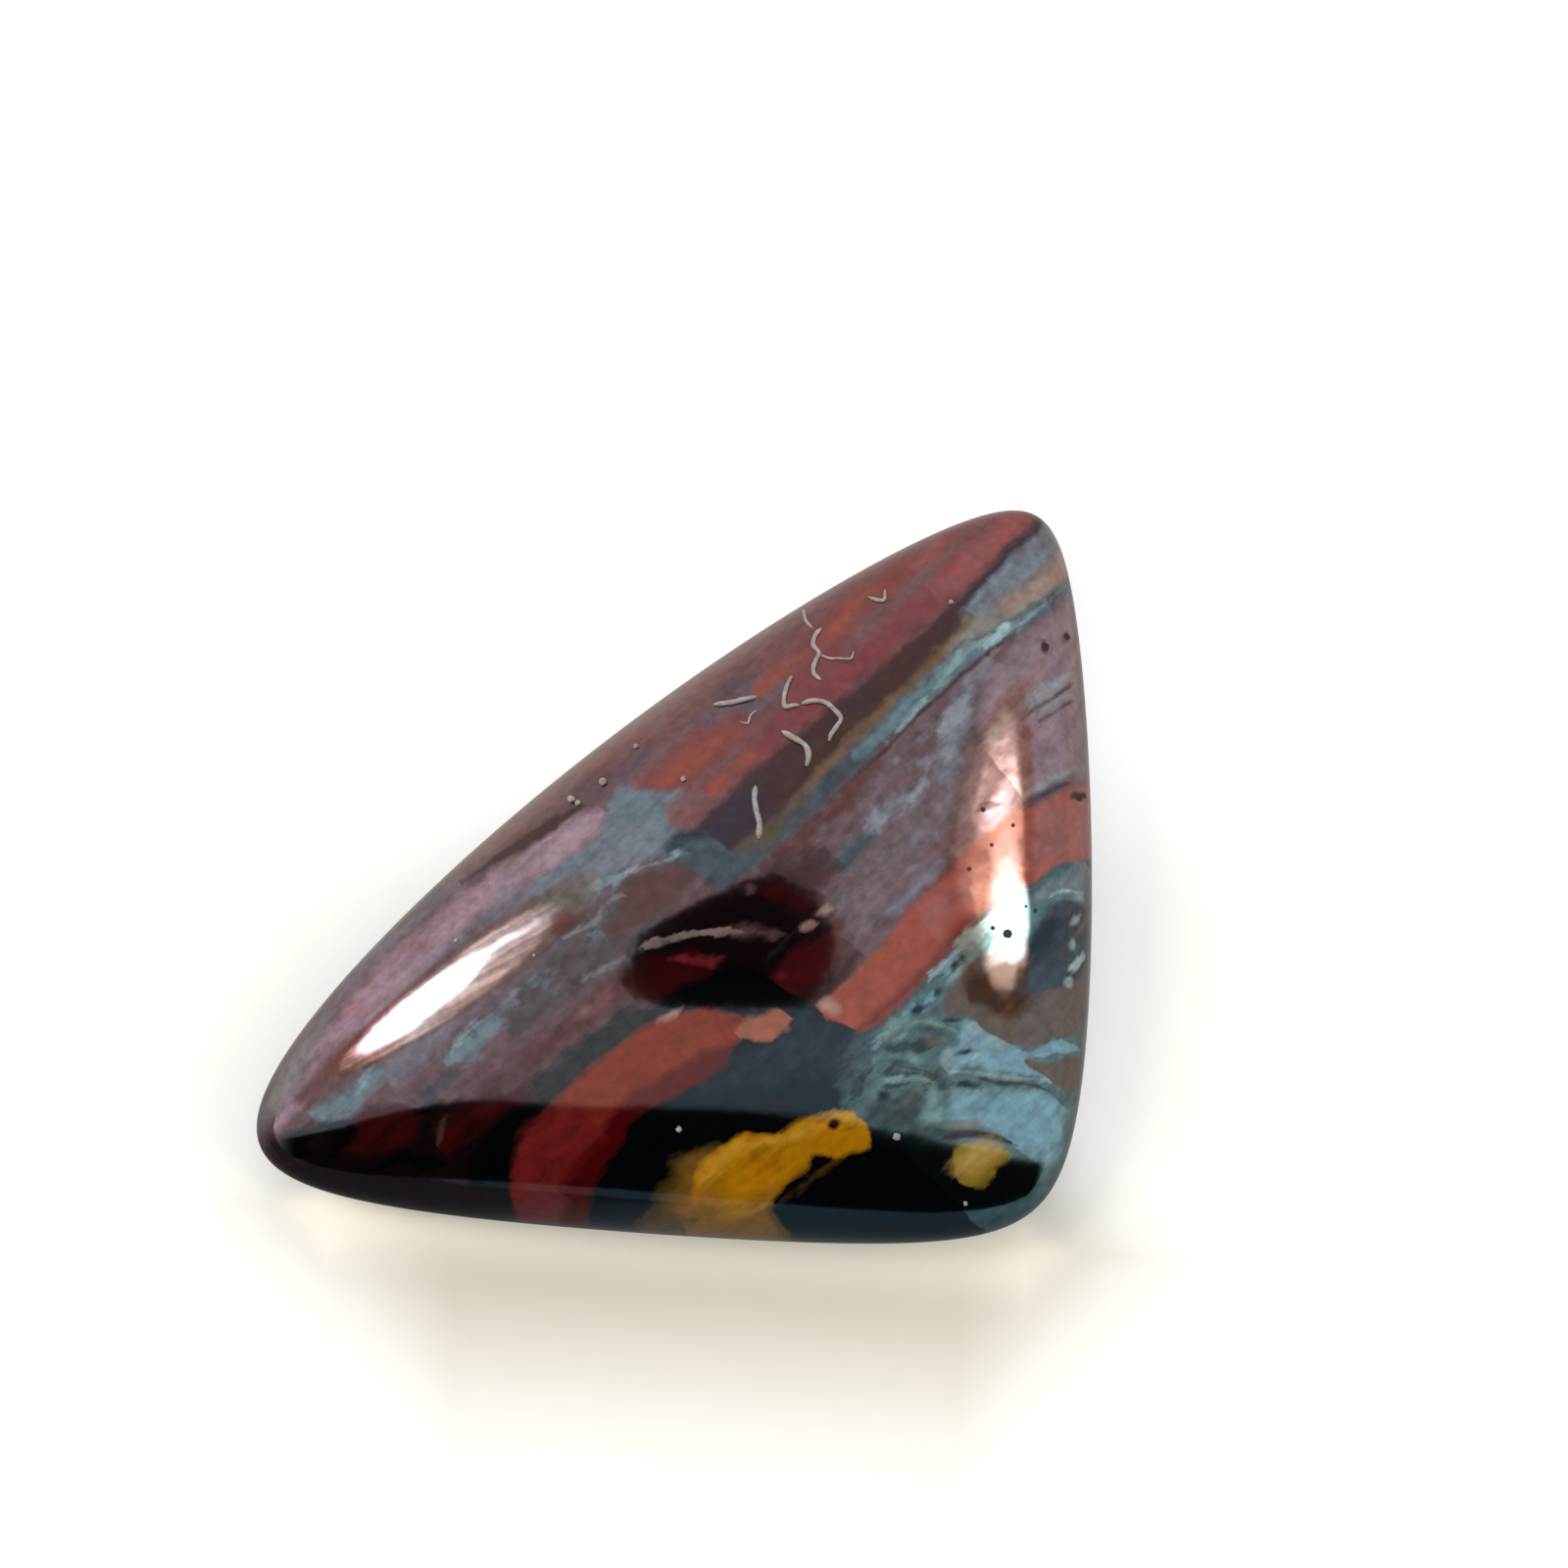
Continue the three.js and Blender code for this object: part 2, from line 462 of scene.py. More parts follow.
MARKINGS = [
    # Rose-grey stone along the upper edge, on the right
    band("rose", [(0.3, TOP), (16.5, TOP)], [(0.3, 3.9), (1.1, 2.2), (2.1, 1.4), (16.5, 1)], 0.25),
    band("edge_pink", [(-5.6, TOP), (9, TOP)], [(-5.6, 4.9), (-2, 4.6), (1, 4.35), (5, 4.1),
         (9, 3.9)], 0.2),
    band("purple_grey", [(-0.6, 4.6), (0.6, 4.4), (2, 4)], [(-0.6, 4), (0.6, 3.7), (2, 3.7)],
         0.2, 0.2),
    # The red jasper and its streaks
    band("red", [(0.9, 3.45), (2.5, 3.45), (5, 3.3), (8, 3.3), (10.5, 3.2), (12.5, 2.85),
         (14.5, 2.3), (16.4, 1.4)], [(0.9, 3.4), (1.5, 2.7), (1.9, 2.3), (2.2, 1.45), (5, 1.45),
         (7, 1.35), (9, 1.2), (11, 1.1), (13, 1), (16.4, 0.9)], 0.16),
    band("orange_red", [(1.1, 3.1), (2.2, 3.2), (3.6, 3.1), (4.4, 2.9)],
         [(1.1, 2.9), (2, 2.6), (3.4, 2.7), (4.4, 2.7)], 0.16, 0.15),
    vein("orange_red", [(1.9, 1.75), (2.6, 1.8, 0.22), (3.6, 1.85, 0.24), (5, 1.8)], 0.12),
    band("crimson", [(4.2, 1.9), (6.5, 2.1), (8, 2), (12, 1.85), (13.2, 1.7)],
         [(4.2, 1.6), (7, 1.35), (9, 1.2), (11, 1.1), (13.2, 1.2)], 0.18),
    band("rose_red", [(11.8, 1.8), (13, 1.9), (14.6, 1.9), (15.8, 1.5)],
         [(11.8, 1.4), (13, 1.1), (14.6, 1.1), (15.8, 1.1)], 0.18),
    band("purple_grey", [(3.6, 3.5), (4.6, 3.95), (5.6, 3.9), (6.3, 3.3)],
         [(3.6, 3.3), (4.6, 3), (5.4, 2.4), (6.3, 2.5)], 0.2, 0.15),
    band("rose", [(8.4, 2.2), (10, 2.5), (12, 2.45), (14, 2.3), (15.4, 2)],
         [(8.4, 2.1), (10, 2), (12, 2), (14, 2), (15.4, 1.9)], 0.18),
    vein("rose", [(1, 2.3), (2.4, 2.3, 0.1), (3.8, 2.2, 0.1), (5.6, 2.35)], 0.1),
    vein("orange_red", [(5.3, 3), (6, 3.1, 0.24), (6.8, 3, 0.2), (7.6, 2.8)], 0.1),
    vein("orange_red", [(7.8, 2.8), (8.8, 2.9, 0.22), (10, 2.95, 0.18), (10.9, 2.85)], 0.12),
    vein("rose_red", [(11.6, 2.6), (12.6, 2.55, 0.2), (13.6, 2.35)], 0.12),
    # The dark brown band, and the gold line and tan patch beneath it
    band("dark_brown", [(0.9, 0.9), (1.4, 1.35), (3, 1.45), (5, 1.42), (7, 1.3), (9, 1.2),
         (11, 1.12), (13, 1.05), (16.3, 0.98)], [(0.9, 0.2), (1.4, 0.1), (2.4, -0.02), (4, 0),
         (6, 0.2), (8, 0.25), (10, 0.27), (11.3, 0.33), (12.3, 0.5), (13, 0.72), (16.3, 0.72)], 0.13),
    band("dark_purple", [(0.9, 0.8), (1.5, 1.25), (2.8, 1.3), (3.6, 0.7)],
         [(0.9, 0.2), (1.4, 0.1), (2.8, 0.15), (3.6, 0.5)], 0.25),
    band("dark_purple", [(12.2, 0.8), (13.5, 1), (16.3, 0.95)],
         [(12.2, 0.6), (13.5, 0.7), (16.3, 0.72)], 0.08),
    band("slate_blue", [(11.7, 0.4), (12.6, 0.66), (13.5, 0.74), (16.3, 0.72)],
         [(11.7, 0.2), (13, 0.05), (14, -0.1), (15, -0.3), (16.3, -0.5)], 0.1),
    vein("brown_dark", [(5, 0.3), (6.5, 0.42, 0.12), (8.5, 0.4, 0.12), (11, 0.42, 0.06),
         (12.2, 0.5)], 0.15),
    vein("olive_grey", [(0.6, 0.02), (1.3, 0.05, 0.1), (2.3, 0.02, 0.1), (3.2, -0.1)], 0.1),
    band("gold_line", [(4, 0.02), (5, 0.12), (7, 0.26), (9, 0.3), (11, 0.32), (12.2, 0.45)],
         [(4, -0.05), (5, -0.04), (6, -0.05), (8, -0.02), (10, -0.02), (11, -0.05), (12.2, -0.2)],
         0.1, 0.15),
    band("tan", [(10.6, 0.05), (11.5, 0.2), (12.3, 0.2), (13, 0.05), (14, -0.1), (15, -0.3),
         (16.3, -0.5)], [(10.6, 0), (11.5, -0.15), (12, -0.4), (13, -0.6), (14, -0.85),
         (15.5, -1.05), (16.3, -1.2)], 0.12),
    band("orange_tan", [(13, -0.1), (14.2, -0.2), (15, -0.3), (16.3, -0.5)],
         [(13, -0.3), (14.2, -0.7), (15.2, -1), (16.3, -1.2)], 0.25),
    # The teal band and its dark lower line
    band("teal_dull", [(0.6, -0.2), (1.2, -0.1), (3, -0.12), (5, -0.08), (7, -0.12), (8.5, -0.02),
         (10, -0.03), (11, 0), (11.7, -0.2), (12.3, -0.45), (13.3, -0.65), (14.5, -0.9),
         (15.8, -1.15)], [(0.6, -0.6), (2, -0.72), (4, -0.72), (6, -0.72), (8, -0.68), (10, -0.68),
         (11, -0.75), (12, -0.92), (13, -1.08), (14, -1.35), (15, -1.7), (15.8, -1.9)], 0.08),
    vein("olive_grey", [(1.8, -0.22), (2.8, -0.3, 0.14), (3.8, -0.25, 0.1), (4.8, -0.2)],
         0.12, 0.15),
    band("teal", [(6.3, -0.2), (8.5, -0.05), (10, -0.05), (11, 0), (11.7, -0.2), (12.3, -0.45),
         (13.3, -0.65), (14.5, -0.95), (15.8, -1.15)], [(6.3, -0.4), (8, -0.66), (10, -0.66),
         (11, -0.72), (12, -0.9), (13, -1.03), (14, -1.18), (15.8, -1.5)], 0.1, 0.15, (0, 0.36, 0.5)),
    vein("teal_light", [(7.2, -0.58), (7.7, -0.6, 0.05), (8.6, -0.58, 0.02), (9.3, -0.45, 0.07),
         (10.2, -0.4, 0.03), (11.2, -0.3, 0.12), (12.2, -0.62, 0.14), (13.2, -0.9, 0.05),
         (14.2, -1.05)], 0.08, 0.16),
    vein("teal_bright", [(11.7, -0.6), (12, -0.6, 0.08), (12.5, -0.7, 0.13),
         (12.9, -0.62)], 0.06, 0.14),
    vein("dark_brown", [(4.6, -0.76), (7, -0.76, 0.05), (9, -0.7, 0.03), (10.5, -0.74, 0.05),
         (12.4, -1)], 0.05, 0.05),
    # The broad mauve middle
    band("reddish", [(2.4, -0.75), (4.6, -0.8), (6.8, -0.8)],
         [(2.4, -0.95), (4, -1.35), (5.4, -1.25), (6.8, -0.95)], 0.2, 0.2),
    band("mauve_grey", [(2.8, -3), (4, -2.8), (6, -2.7), (8, -2.7), (9.5, -2.4)],
         [(2.8, -4.3), (5, -4.4), (7, -4.3), (9.5, -3)], 0.3),
    band("slate_violet", [(2.6, -1.2), (5, -1.4), (9, -1)], [(2.6, -4.6), (5, -4.7), (7, -4.4),
         (9, -2.6)], 0.2, 0.1, (1, 0.53, 0.7)),
    band("mauve_right", [(9.6, -2.8), (11.8, -1.3), (14.8, -1.4), (16, -1.6)],
         [(9.6, -4.9), (11, -5.5), (12, -6.6), (16, -12)], 0.25),
    band("slate_blue", [(7.8, -2.5), (8.6, -1.9), (9.3, -1.35), (10.2, -1.05), (11.6, -0.93)],
         [(7.8, -2.75), (8.6, -2.6), (9.4, -2.1), (10.3, -1.6), (11.3, -1.15), (11.6, -1.1)],
         0.2, 0.2),
    vein("pale_slate", [(8.8, -1.5), (9.2, -1.45, 0.2), (9.8, -1.5, 0.2), (10.3, -1.3)],
         0.12, 0.15),
    vein("grey_light", [(10.4, -1.02), (11.2, -0.98, 0.08), (12.3, -1)], 0.05, 0.1),
    spot("grey_light", 7.25, -1.25, 0.22, 0.16, 40, 0.06, 0.04),
    spot("vein_brown", 7.5, -1.7, 0.4, 0.14, 45, 0.06, 0.04),
    spot("vein_brown", 4.2, -1.2, 0.3, 0.2, 30, 0.08, 0.06),
    band("teal_dull", [(3.4, -2.2), (4, -2.05), (4.8, -2.2), (5.3, -2.5)],
         [(3.4, -2.3), (4, -2.7), (4.8, -2.75), (5.3, -2.6)], 0.14, 0.2),
    vein("slate_blue", [(5, -2.15), (5.6, -2.2, 0.2), (6.3, -2.2, 0.22), (7.2, -2.4, 0.18),
         (8, -2.48)], 0.12, 0.2),
    vein("pale_slate", [(6, -2.05), (6.4, -2.25, 0.12), (7, -2.4, 0.1), (7.9, -2.5)],
         0.08, 0.14),
    spot("pale_slate", 5.65, -2.15, 0.5, 0.3, -15, 0.06, 0.1),
    spot("pale_slate", 8.6, -2.2, 0.5, 0.3, 40, 0.1, 0.1),
    vein("slate_violet", [(3, -4.45), (3.8, -4.45, 0.12), (4.6, -4.55, 0.16), (5.4, -4.5, 0.2),
         (6.3, -4.5)], 0.14, 0.15),
    vein("pale_slate", [(11.2, -2.8), (11.8, -2.85, 0.18), (12.6, -3, 0.18),
         (13.5, -3.3)], 0.08, 0.1),
    vein("pale_slate", [(11.5, -3.35), (12.2, -3.42, 0.1), (13, -3.75)], 0.05, 0.05),
    vein("grey", [(11, -3.02), (12, -3.22, 0.04), (13.4, -3.6)], 0.05, 0.06),
    vein("grey", [(11.4, -3.5), (12.1, -3.65, 0.04), (12.9, -3.95)], 0.05, 0.05),
    vein("pale_slate", [(9.5, -4.82), (10, -4.95, 0.07), (10.8, -5.2, 0.14),
         (11.6, -5.6)], 0.07, 0.08),
    vein("dark_purple", [(9.5, -5.05), (10.2, -5.3, 0.07), (11, -5.7)], 0.08, 0.05),
    vein("dark_brown", [(7.9, -4.05), (8.3, -4.1, 0.1), (8.6, -4.3, 0.1), (8.9, -4.55)],
         0.06, 0.1),
    vein("tan", [(9.4, -2.75), (9.9, -2.7, 0.1), (10.5, -2.62, 0.14), (11.2, -2.8)],
         0.06, 0.12),
    # The stone left of the middle: maroon and grey, with its veins
    band("grey", [(-7, 1.2), (-5.5, 1.5), (-3, 1.7), (-1.8, 1.6), (-1, 1.2)],
         [(-7, 0.2), (-5, 0), (-3, -0.1), (-1, 0.2)], 0.3, 0.25),
    band("steel", [(-6.6, 1.5), (-5.2, 1.7), (-2.4, 1.5)], [(-6.6, 0.7), (-5.2, 0.4), (-2.4, 1)],
         0.2, 0.2, (2, 0.5, 0.7)),
    band("maroon", [(-9.6, -0.3), (-8, -0.15), (-6, -0.1), (-4.5, -0.15), (-3, -0.4)],
         [(-9.6, -0.9), (-8, -1.15), (-6, -1.1), (-4.5, -1.2), (-3, -1)], 0.25, 0.2),
    spot("rose", -5.15, -0.55, 0.5, 0.3, 0, 0.1, 0.1),
    spot("rose", -4.4, -0.75, 0.7, 0.35, 20, 0.15, 0.1),
    band("maroon_deep", [(1.2, -1), (1.8, -1.3), (2.4, -1.9), (2.8, -2.6)],
         [(1.2, -1.2), (1.8, -2.4), (2.2, -2.9), (2.8, -2.9)], 0.2, 0.15),
    band("maroon_red", [(-0.2, -3.5), (0.8, -3.4), (1.8, -3.5), (2.3, -3.75)],
         [(-0.2, -4), (0.3, -4.6), (1.6, -4.75), (2.3, -4.4)], 0.12, 0.15),
    spot("vein_red", 0.2, -3.75, 0.26, 0.22, 0, 0.08, 0.06),
    band("maroon_deep", [(-3.5, -0.6), (-2.6, -0.5), (-2, -0.9), (-1.2, -1.4)],
         [(-3.5, -1.5), (-2.7, -2.1), (-2, -2.2), (-1.2, -2.3)], 0.2, 0.15),
    vein("vein_red", [(-2.1, -1.05), (-1.8, -1.3, 0.16), (-1.45, -1.65, 0.18),
         (-1.15, -1.95, 0.22), (-0.65, -2.15)], 0.08, 0.1),
    vein("vein_brown", [(-0.4, -1.5), (0, -1.8, 0.2), (0.45, -2.15, 0.24), (0.8, -2.5, 0.24),
         (1.2, -2.9)], 0.16, 0.15),
    vein("vein_grey", [(-2.55, -0.22), (-2.1, -0.36, 0.17), (-1.7, -0.58, 0.16),
         (-1.25, -0.8, 0.1), (-0.75, -1.12, 0.18), (-0.25, -1.5, 0.17), (0.25, -1.95)],
         0.05, 0.12),
    band("dark_brown", [(0.2, -4.6), (1, -4.6), (1.8, -4.5), (2.4, -4.8)],
         [(0.2, -5.4), (1, -5.4), (1.8, -5.2), (2.4, -4.9)], 0.25, 0.15),
    band("dark_brown", [(1.9, -0.9), (2.8, -1.15), (3.8, -1.8)], [(1.9, -1.3), (2.7, -2.6),
         (3.8, -2.4)], 0.3, 0.25),
    spot("reddish", 2.5, -3.65, 1.3, 0.5, 55, 0.15, 0.1),
    vein("brown", [(0.2, -3.05), (0.7, -3.02, 0.09), (1.4, -3, 0.05), (2.8, -3.05, 0.05),
         (4.1, -3)], 0.06, 0.12),
    spot("grey_light", 0.78, -3.02, 0.7, 0.2, 5, 0.06, 0.08),
    spot("pale_pink", 1.85, -3.12, 0.55, 0.26, -25, 0.05, 0.08),
    spot("pale_pink", 2.5, -3.14, 0.5, 0.22, -25, 0.05, 0.08),
    spot("vein_brown", 1.2, -1.1, 0.26, 0.22, 0, 0.08, 0.06),
    vein("grey_light", [(-4.4, 0.2), (-3.7, 0.05, 0.07), (-3.1, -0.15, 0.06),
         (-2.4, -0.3)], 0.08, 0.14),
    # Hematite along the upper side of the left red band, and round its end
    band("dark_slate", [(-12.2, -3.6), (-11, -2.2), (-10.4, -1.7), (-9.2, -1.4), (-8, -1.15),
         (-6, -1.15), (-5, -1.2), (-4, -1.3), (-3.3, -1.8), (-2.4, -1.95), (-1.6, -2.2),
         (-1, -2.4), (-0.3, -3), (0, -4.2), (0.35, -5.1)],
         [(-12.2, -6.5), (-10.6, -6.5), (-10, -5), (-5, -4), (-0.5, -5.2), (0.35, -5.3)], 0.12, 0.15),
    # Everything below the red bands: slate to the left, teal to the right
    band("slate", [(-12, -6.4), (-9.5, -6), (-8.7, -5.2), (-8, -4.8), (-7, -4.4), (-6, -4.1),
         (-5, -4.15), (-4, -4.4), (-3, -4.5), (-2, -4.4), (-1, -4.7), (0, -4.9), (0.4, -5.3),
         (0.9, -6.5), (2, -6.6), (4, -6.6), (6, -6.5), (8, -6.9), (9, -7.1), (9.7, -7.7),
         (11, -9)], [(-12, BOTTOM), (11, BOTTOM)], 0.08, 0.06),
    band("slate_mid", [(-4, -4.6), (-2.5, -4.8), (-1, -4.9), (0.4, -5.4), (1.2, -6.8)],
         [(-4, -4.9), (-2.5, -5.8), (-1, -6.8), (0, -8), (1.2, -7.3)], 0.3, 0.2),
    band("teal_field", [(-1.3, -8.7), (-0.8, -7.95), (-0.2, -7.5), (0.3, -7.15), (1, -6.95),
         (2, -6.8), (4, -6.7), (6, -6.6), (8, -6.95), (9, -7.2), (9.7, -7.85)],
         [(-1.3, -9.2), (-0.6, -10.5), (0.2, BOTTOM), (9.7, BOTTOM)], 0.35, 0.25),
    band("teal_shade", [(-0.8, -8), (0.2, -7.4), (1.4, -7.6), (2, -8.6)], [(-0.8, -9.4),
         (0.4, -10.8), (1.2, -10.4), (2, -9.4)], 0.25, 0.1, (1, 0.44, 0.6)),
    band("teal_pale", [(0.6, -7.3), (1.4, -7), (3.4, -7.1), (5.6, -6.8)], [(0.6, -7.6),
         (2.4, -7.9), (3.6, -7.9), (5.6, -7.2)], 0.15, 0.1, (2, 0.46, 0.6)),
    # The two parts of the red band
    band("deep_red", [(-11.6, -5.6), (-10.8, -4.6), (-10.4, -3.9), (-10, -3.3), (-9.3, -2.7),
         (-8.5, -2.35), (-7.5, -2.2), (-6, -2.1), (-5, -2.1), (-4, -2.3), (-3, -2.7), (-1.6, -4.1)],
         [(-11.6, -7.2), (-9.6, -6.6), (-8.9, -5.5), (-8, -4.95), (-7, -4.55), (-6, -4.2),
         (-5, -4.3), (-4, -4.55), (-3, -4.68), (-2.4, -4.5), (-1.6, -4.15)], 0.09, 0.1),
    band("band_left", [(-10.6, -4), (-10, -3.2), (-9.3, -2.65), (-8.5, -2.3), (-7.5, -2.12),
         (-6, -2.02), (-5, -2.02), (-4, -2.17), (-3, -2.42), (-2.4, -2.8), (-2, -3.2),
         (-1.5, -3.9)], [(-10.6, -4.5), (-9.6, -4.3), (-8.6, -4), (-7.5, -3.85), (-6.5, -3.6),
         (-5.5, -3.5), (-4.5, -3.65), (-3.5, -3.85), (-2.8, -4.05), (-2.2, -4.35), (-1.5, -4.2)],
         0.12, 0.1),
    band("band_deep", [(-11.8, -5.6), (-10.8, -4.5), (-10.1, -3.4), (-9.3, -2.6), (-8.5, -2.3),
         (-7.2, -2.4)], [(-11.8, -7), (-10.4, -6.2), (-9.4, -4.5), (-8.6, -4.1), (-7.2, -3.9)],
         0.3, 0.15),
    band("vein_red", [(-12, -6), (-11, -5), (-10, -3.9), (-9.3, -4.3)],
         [(-12, -7), (-10.4, -6.2), (-9.7, -5.3), (-9.3, -4.9)], 0.25, 0.1),
    band("tan_pink", [(-1.95, -4), (-1.6, -4), (-1.2, -4.2), (-0.9, -4.3), (-0.65, -4.35),
         (-0.45, -4.8)], [(-1.95, -4.3), (-1.6, -4.85), (-1.2, -5.12), (-0.8, -5.12),
         (-0.45, -4.9)], 0.08, 0.1),
    band("band_red", [(0.3, -5.5), (0.5, -5.15), (0.9, -5.25), (1.5, -5.2), (3, -5.12),
         (4.5, -4.92), (6, -4.88), (7.5, -4.85), (9, -5), (9.7, -5.35), (10.5, -5.75),
         (11.2, -6.05), (12.4, -7)], [(0.3, -5.7), (0.6, -6), (0.85, -6.6), (1.3, -6.9),
         (3, -6.88), (4.5, -6.72), (6, -6.6), (7, -6.75), (8, -7), (9, -7.25), (9.7, -7.8),
         (10.5, -8.4), (12.4, -9.5)], 0.07, 0.08),
    band("band_pink", [(4.6, -5.2), (7, -4.95), (9, -5.1), (9.7, -5.45), (10.5, -5.85),
         (11.2, -6.15), (12.4, -7)], [(4.6, -6), (7, -6.5), (9, -7.1), (9.7, -7.6),
         (10.5, -8.2), (12.4, -9.5)], 0.3),
    vein("band_low", [(0.8, -6.6), (1.6, -6.75, 0.2), (3.5, -6.7, 0.2), (5.2, -6.52, 0.16),
         (6.6, -6.6)], 0.14),
    spot("pale_pink", 0.66, -5.45, 0.6, 0.46, -60, 0.1),
    spot("pale_pink", -3.1, -2.38, 0.5, 0.14, -10, 0.06, 0.06),
    # Teal light and dark swirls, lower right
    # Painted shade: darker where the edge of the dark front is mirrored.
    spot("teal_shade", -0.3, -9.4, 1.8, 1.1, -50, 0.3, 0.15),
    band("teal_pale", [(1.2, -10.7), (1.9, -10.4), (2.4, -10.7), (3, -11.2), (3.6, -11.9),
         (4.1, -12.6)], [(1.2, -10.9), (1.8, -11.7), (2.1, -12.6), (2.3, -13.6), (2.6, -14.3),
         (4.1, -13.3)], 0.16, 0.15),
    band("teal_pale", [(2.2, -9.1), (2.8, -9.1), (3.3, -8.7), (3.7, -8.95), (3.9, -9.8),
         (4.2, -10.6), (4.45, -11.6)], [(2.2, -9.5), (2.8, -10.1), (3.3, -10.7), (3.8, -11.3),
         (4.1, -11.8), (4.45, -12.3)], 0.12, 0.15),
    vein("teal_green", [(1.2, -7.5), (1.7, -7.35, 0.16), (2.2, -7.55, 0.2), (2.6, -8, 0.2),
         (2.9, -8.4, 0.18), (3.1, -8.8)], 0.12, 0.2),
    vein("teal_green", [(0.4, -8.3), (0.8, -8.65, 0.1), (1.2, -9, 0.15), (1.5, -9.35, 0.12),
         (1.65, -9.6)], 0.08, 0.15),
    spot("teal_green", 1.15, -9.9, 1.1, 0.4, 45, 0.1, 0.15),
    spot("teal_green", 1.55, -8.5, 0.85, 0.2, -60, 0.07, 0.1),
    spot("teal_green", 0.85, -10.5, 0.9, 0.5, -50, 0.15, 0.15),
    vein("teal_light", [(3.4, -7.05), (4, -6.95, 0.14), (4.6, -6.95, 0.22), (5.3, -6.95, 0.3),
         (6.2, -6.8)], 0.08, 0.15),
    spot("teal_shade", 2.45, -8.15, 0.9, 0.3, -50, 0.1, 0.1),
    spot("teal_shade", 0.75, -10.9, 1.5, 0.5, -38, 0.15, 0.1),
    spot("teal_light", 4.25, -7.5, 0.6, 0.14, 0, 0.05, 0.1),
    spot("teal_light", 3.6, -9.05, 0.85, 0.3, -65, 0.07, 0.12),
    spot("teal_light", 3.8, -9.85, 0.8, 0.3, -75, 0.07, 0.12),
    spot("teal_light", 2.45, -9.2, 0.5, 0.4, 0, 0.1, 0.12),
    spot("teal_bright", 3.05, -9.83, 0.4, 0.12, 0, 0.04, 0.06),
    vein("blue_shade", [(2.6, -10.4), (3, -10.85, 0.09), (3.5, -11.4, 0.1), (3.85, -11.9, 0.08),
         (4.15, -12.5)], 0.06, 0.08),
    vein("teal_light", [(2.1, -9.55), (2.4, -9.9, 0.1), (2.9, -10.4, 0.06), (3.3, -10.85, 0.12),
         (3.8, -11.5, 0.08), (4.4, -12.2)], 0.1, 0.12),
    vein("teal_shade", [(1, -7.5), (1.35, -7.8, 0.14), (1.8, -8.15, 0.18), (2.2, -8.5, 0.2),
         (2.6, -8.9)], 0.08, 0.15),
    spot("brown", 2.35, -8.55, 0.5, 0.24, -60, 0.08, 0.1),
    vein("teal_shade", [(1, -8.3), (1.25, -8.58, 0.05), (1.5, -8.88, 0.06),
         (1.7, -9.2, 0.05), (1.8, -9.45)], 0.05, 0.06),
    spot("teal_shade", 0.72, -9.4, 0.6, 0.26, -70, 0.08, 0.1),
    spot("teal_shade", 0.5, -9.85, 0.4, 0.3, 0, 0.12, 0.12),
    spot("teal_shade", 1.7, -9.75, 0.5, 0.28, -25, 0.07, 0.1),
    spot("teal_speck", 2.25, -10.3, 0.6, 0.16, -55, 0.05, 0.08),
    spot("teal_speck", 3.2, -8.38, 0.5, 0.13, -40, 0.05, 0.06),
    # The brown patch, the dark blue patch at the right edge and their bright rims
    band("brown", [(3.15, -8.05), (3.4, -7.75), (4, -7.55), (5.5, -7.6), (6.3, -7.9), (6.8, -8.5),
         (7.3, -9.9), (8.5, -10.6)], [(3.15, -8.08), (3.5, -8.5), (3.72, -8.95), (3.85, -9.45),
         (4, -10), (4.2, -10.45), (4.5, -10.85), (5.3, -11.2), (6, -11.8), (8.5, -10.9)],
         0.07, 0.14),
    band("brown_dark", [(4, -8.2), (4.5, -7.8), (5.2, -7.9), (6, -8.6), (6.6, -9)],
         [(4, -8.4), (4.3, -8.9), (4.6, -9.5), (5.2, -9.8), (5.9, -9.6), (6.6, -9.1)], 0.16, 0.15),
    band("brown", [(4.15, -11), (4.5, -11.5), (5, -11.95), (5.5, -12.3), (6, -12.6)],
         [(4.15, -11.2), (4.35, -12.2), (4.5, -12.9), (5.2, -13.2), (6, -12.9)], 0.06, 0.1),
    vein("teal_pale", [(4.1, -10.75), (4.5, -11.1, 0.1), (4.9, -11.3, 0.22), (5.3, -11.6, 0.26),
         (5.65, -12, 0.14), (5.8, -12.3)], 0.05, 0.1),
    band("blue_shade", [(5.3, -9.35), (6, -9), (6.6, -8.6), (7.1, -8.1), (7.6, -7.95),
         (8.1, -7.98), (8.5, -8.3), (8.75, -8.9), (9.3, -9.3)], [(5.3, -9.45), (6, -9.9),
         (6.6, -10.15), (7.4, -10.5), (8, -10.3), (8.7, -9.8), (9.3, -9.5)], 0.1, 0.15),
    band("slate", [(6.2, -8.7), (6.9, -8.2), (7.5, -8.2), (7.9, -8.6)],
         [(6.2, -8.9), (6.9, -9), (7.5, -8.8), (7.9, -8.7)], 0.2, 0.15),
    band("steel", [(7.7, -7.35), (8.6, -7.5), (9.2, -7.6), (9.7, -7.95)],
         [(7.7, -7.6), (8.4, -7.95), (8.9, -8.6), (9.7, -8.5)], 0.1, 0.15),
    vein("teal_bright", [(8, -7.75), (8.4, -7.9, 0.07), (8.75, -8.15, 0.1), (9, -8.5)],
         0.05, 0.1),
    spot("teal_light", 8.88, -8.6, 0.5, 0.2, -80, 0.06, 0.08),
    spot("teal_light", 8.22, -8.95, 0.42, 0.26, 0, 0.06, 0.1),
    spot("teal_light", 7.65, -9.5, 0.4, 0.24, 80, 0.06, 0.1),
    spot("teal_bright", 7.42, -10.02, 0.62, 0.26, -10, 0.06, 0.12),
    spot("teal_light", 6.78, -10.35, 0.42, 0.18, 80, 0.07, 0.1),
    # The stone at the upper left
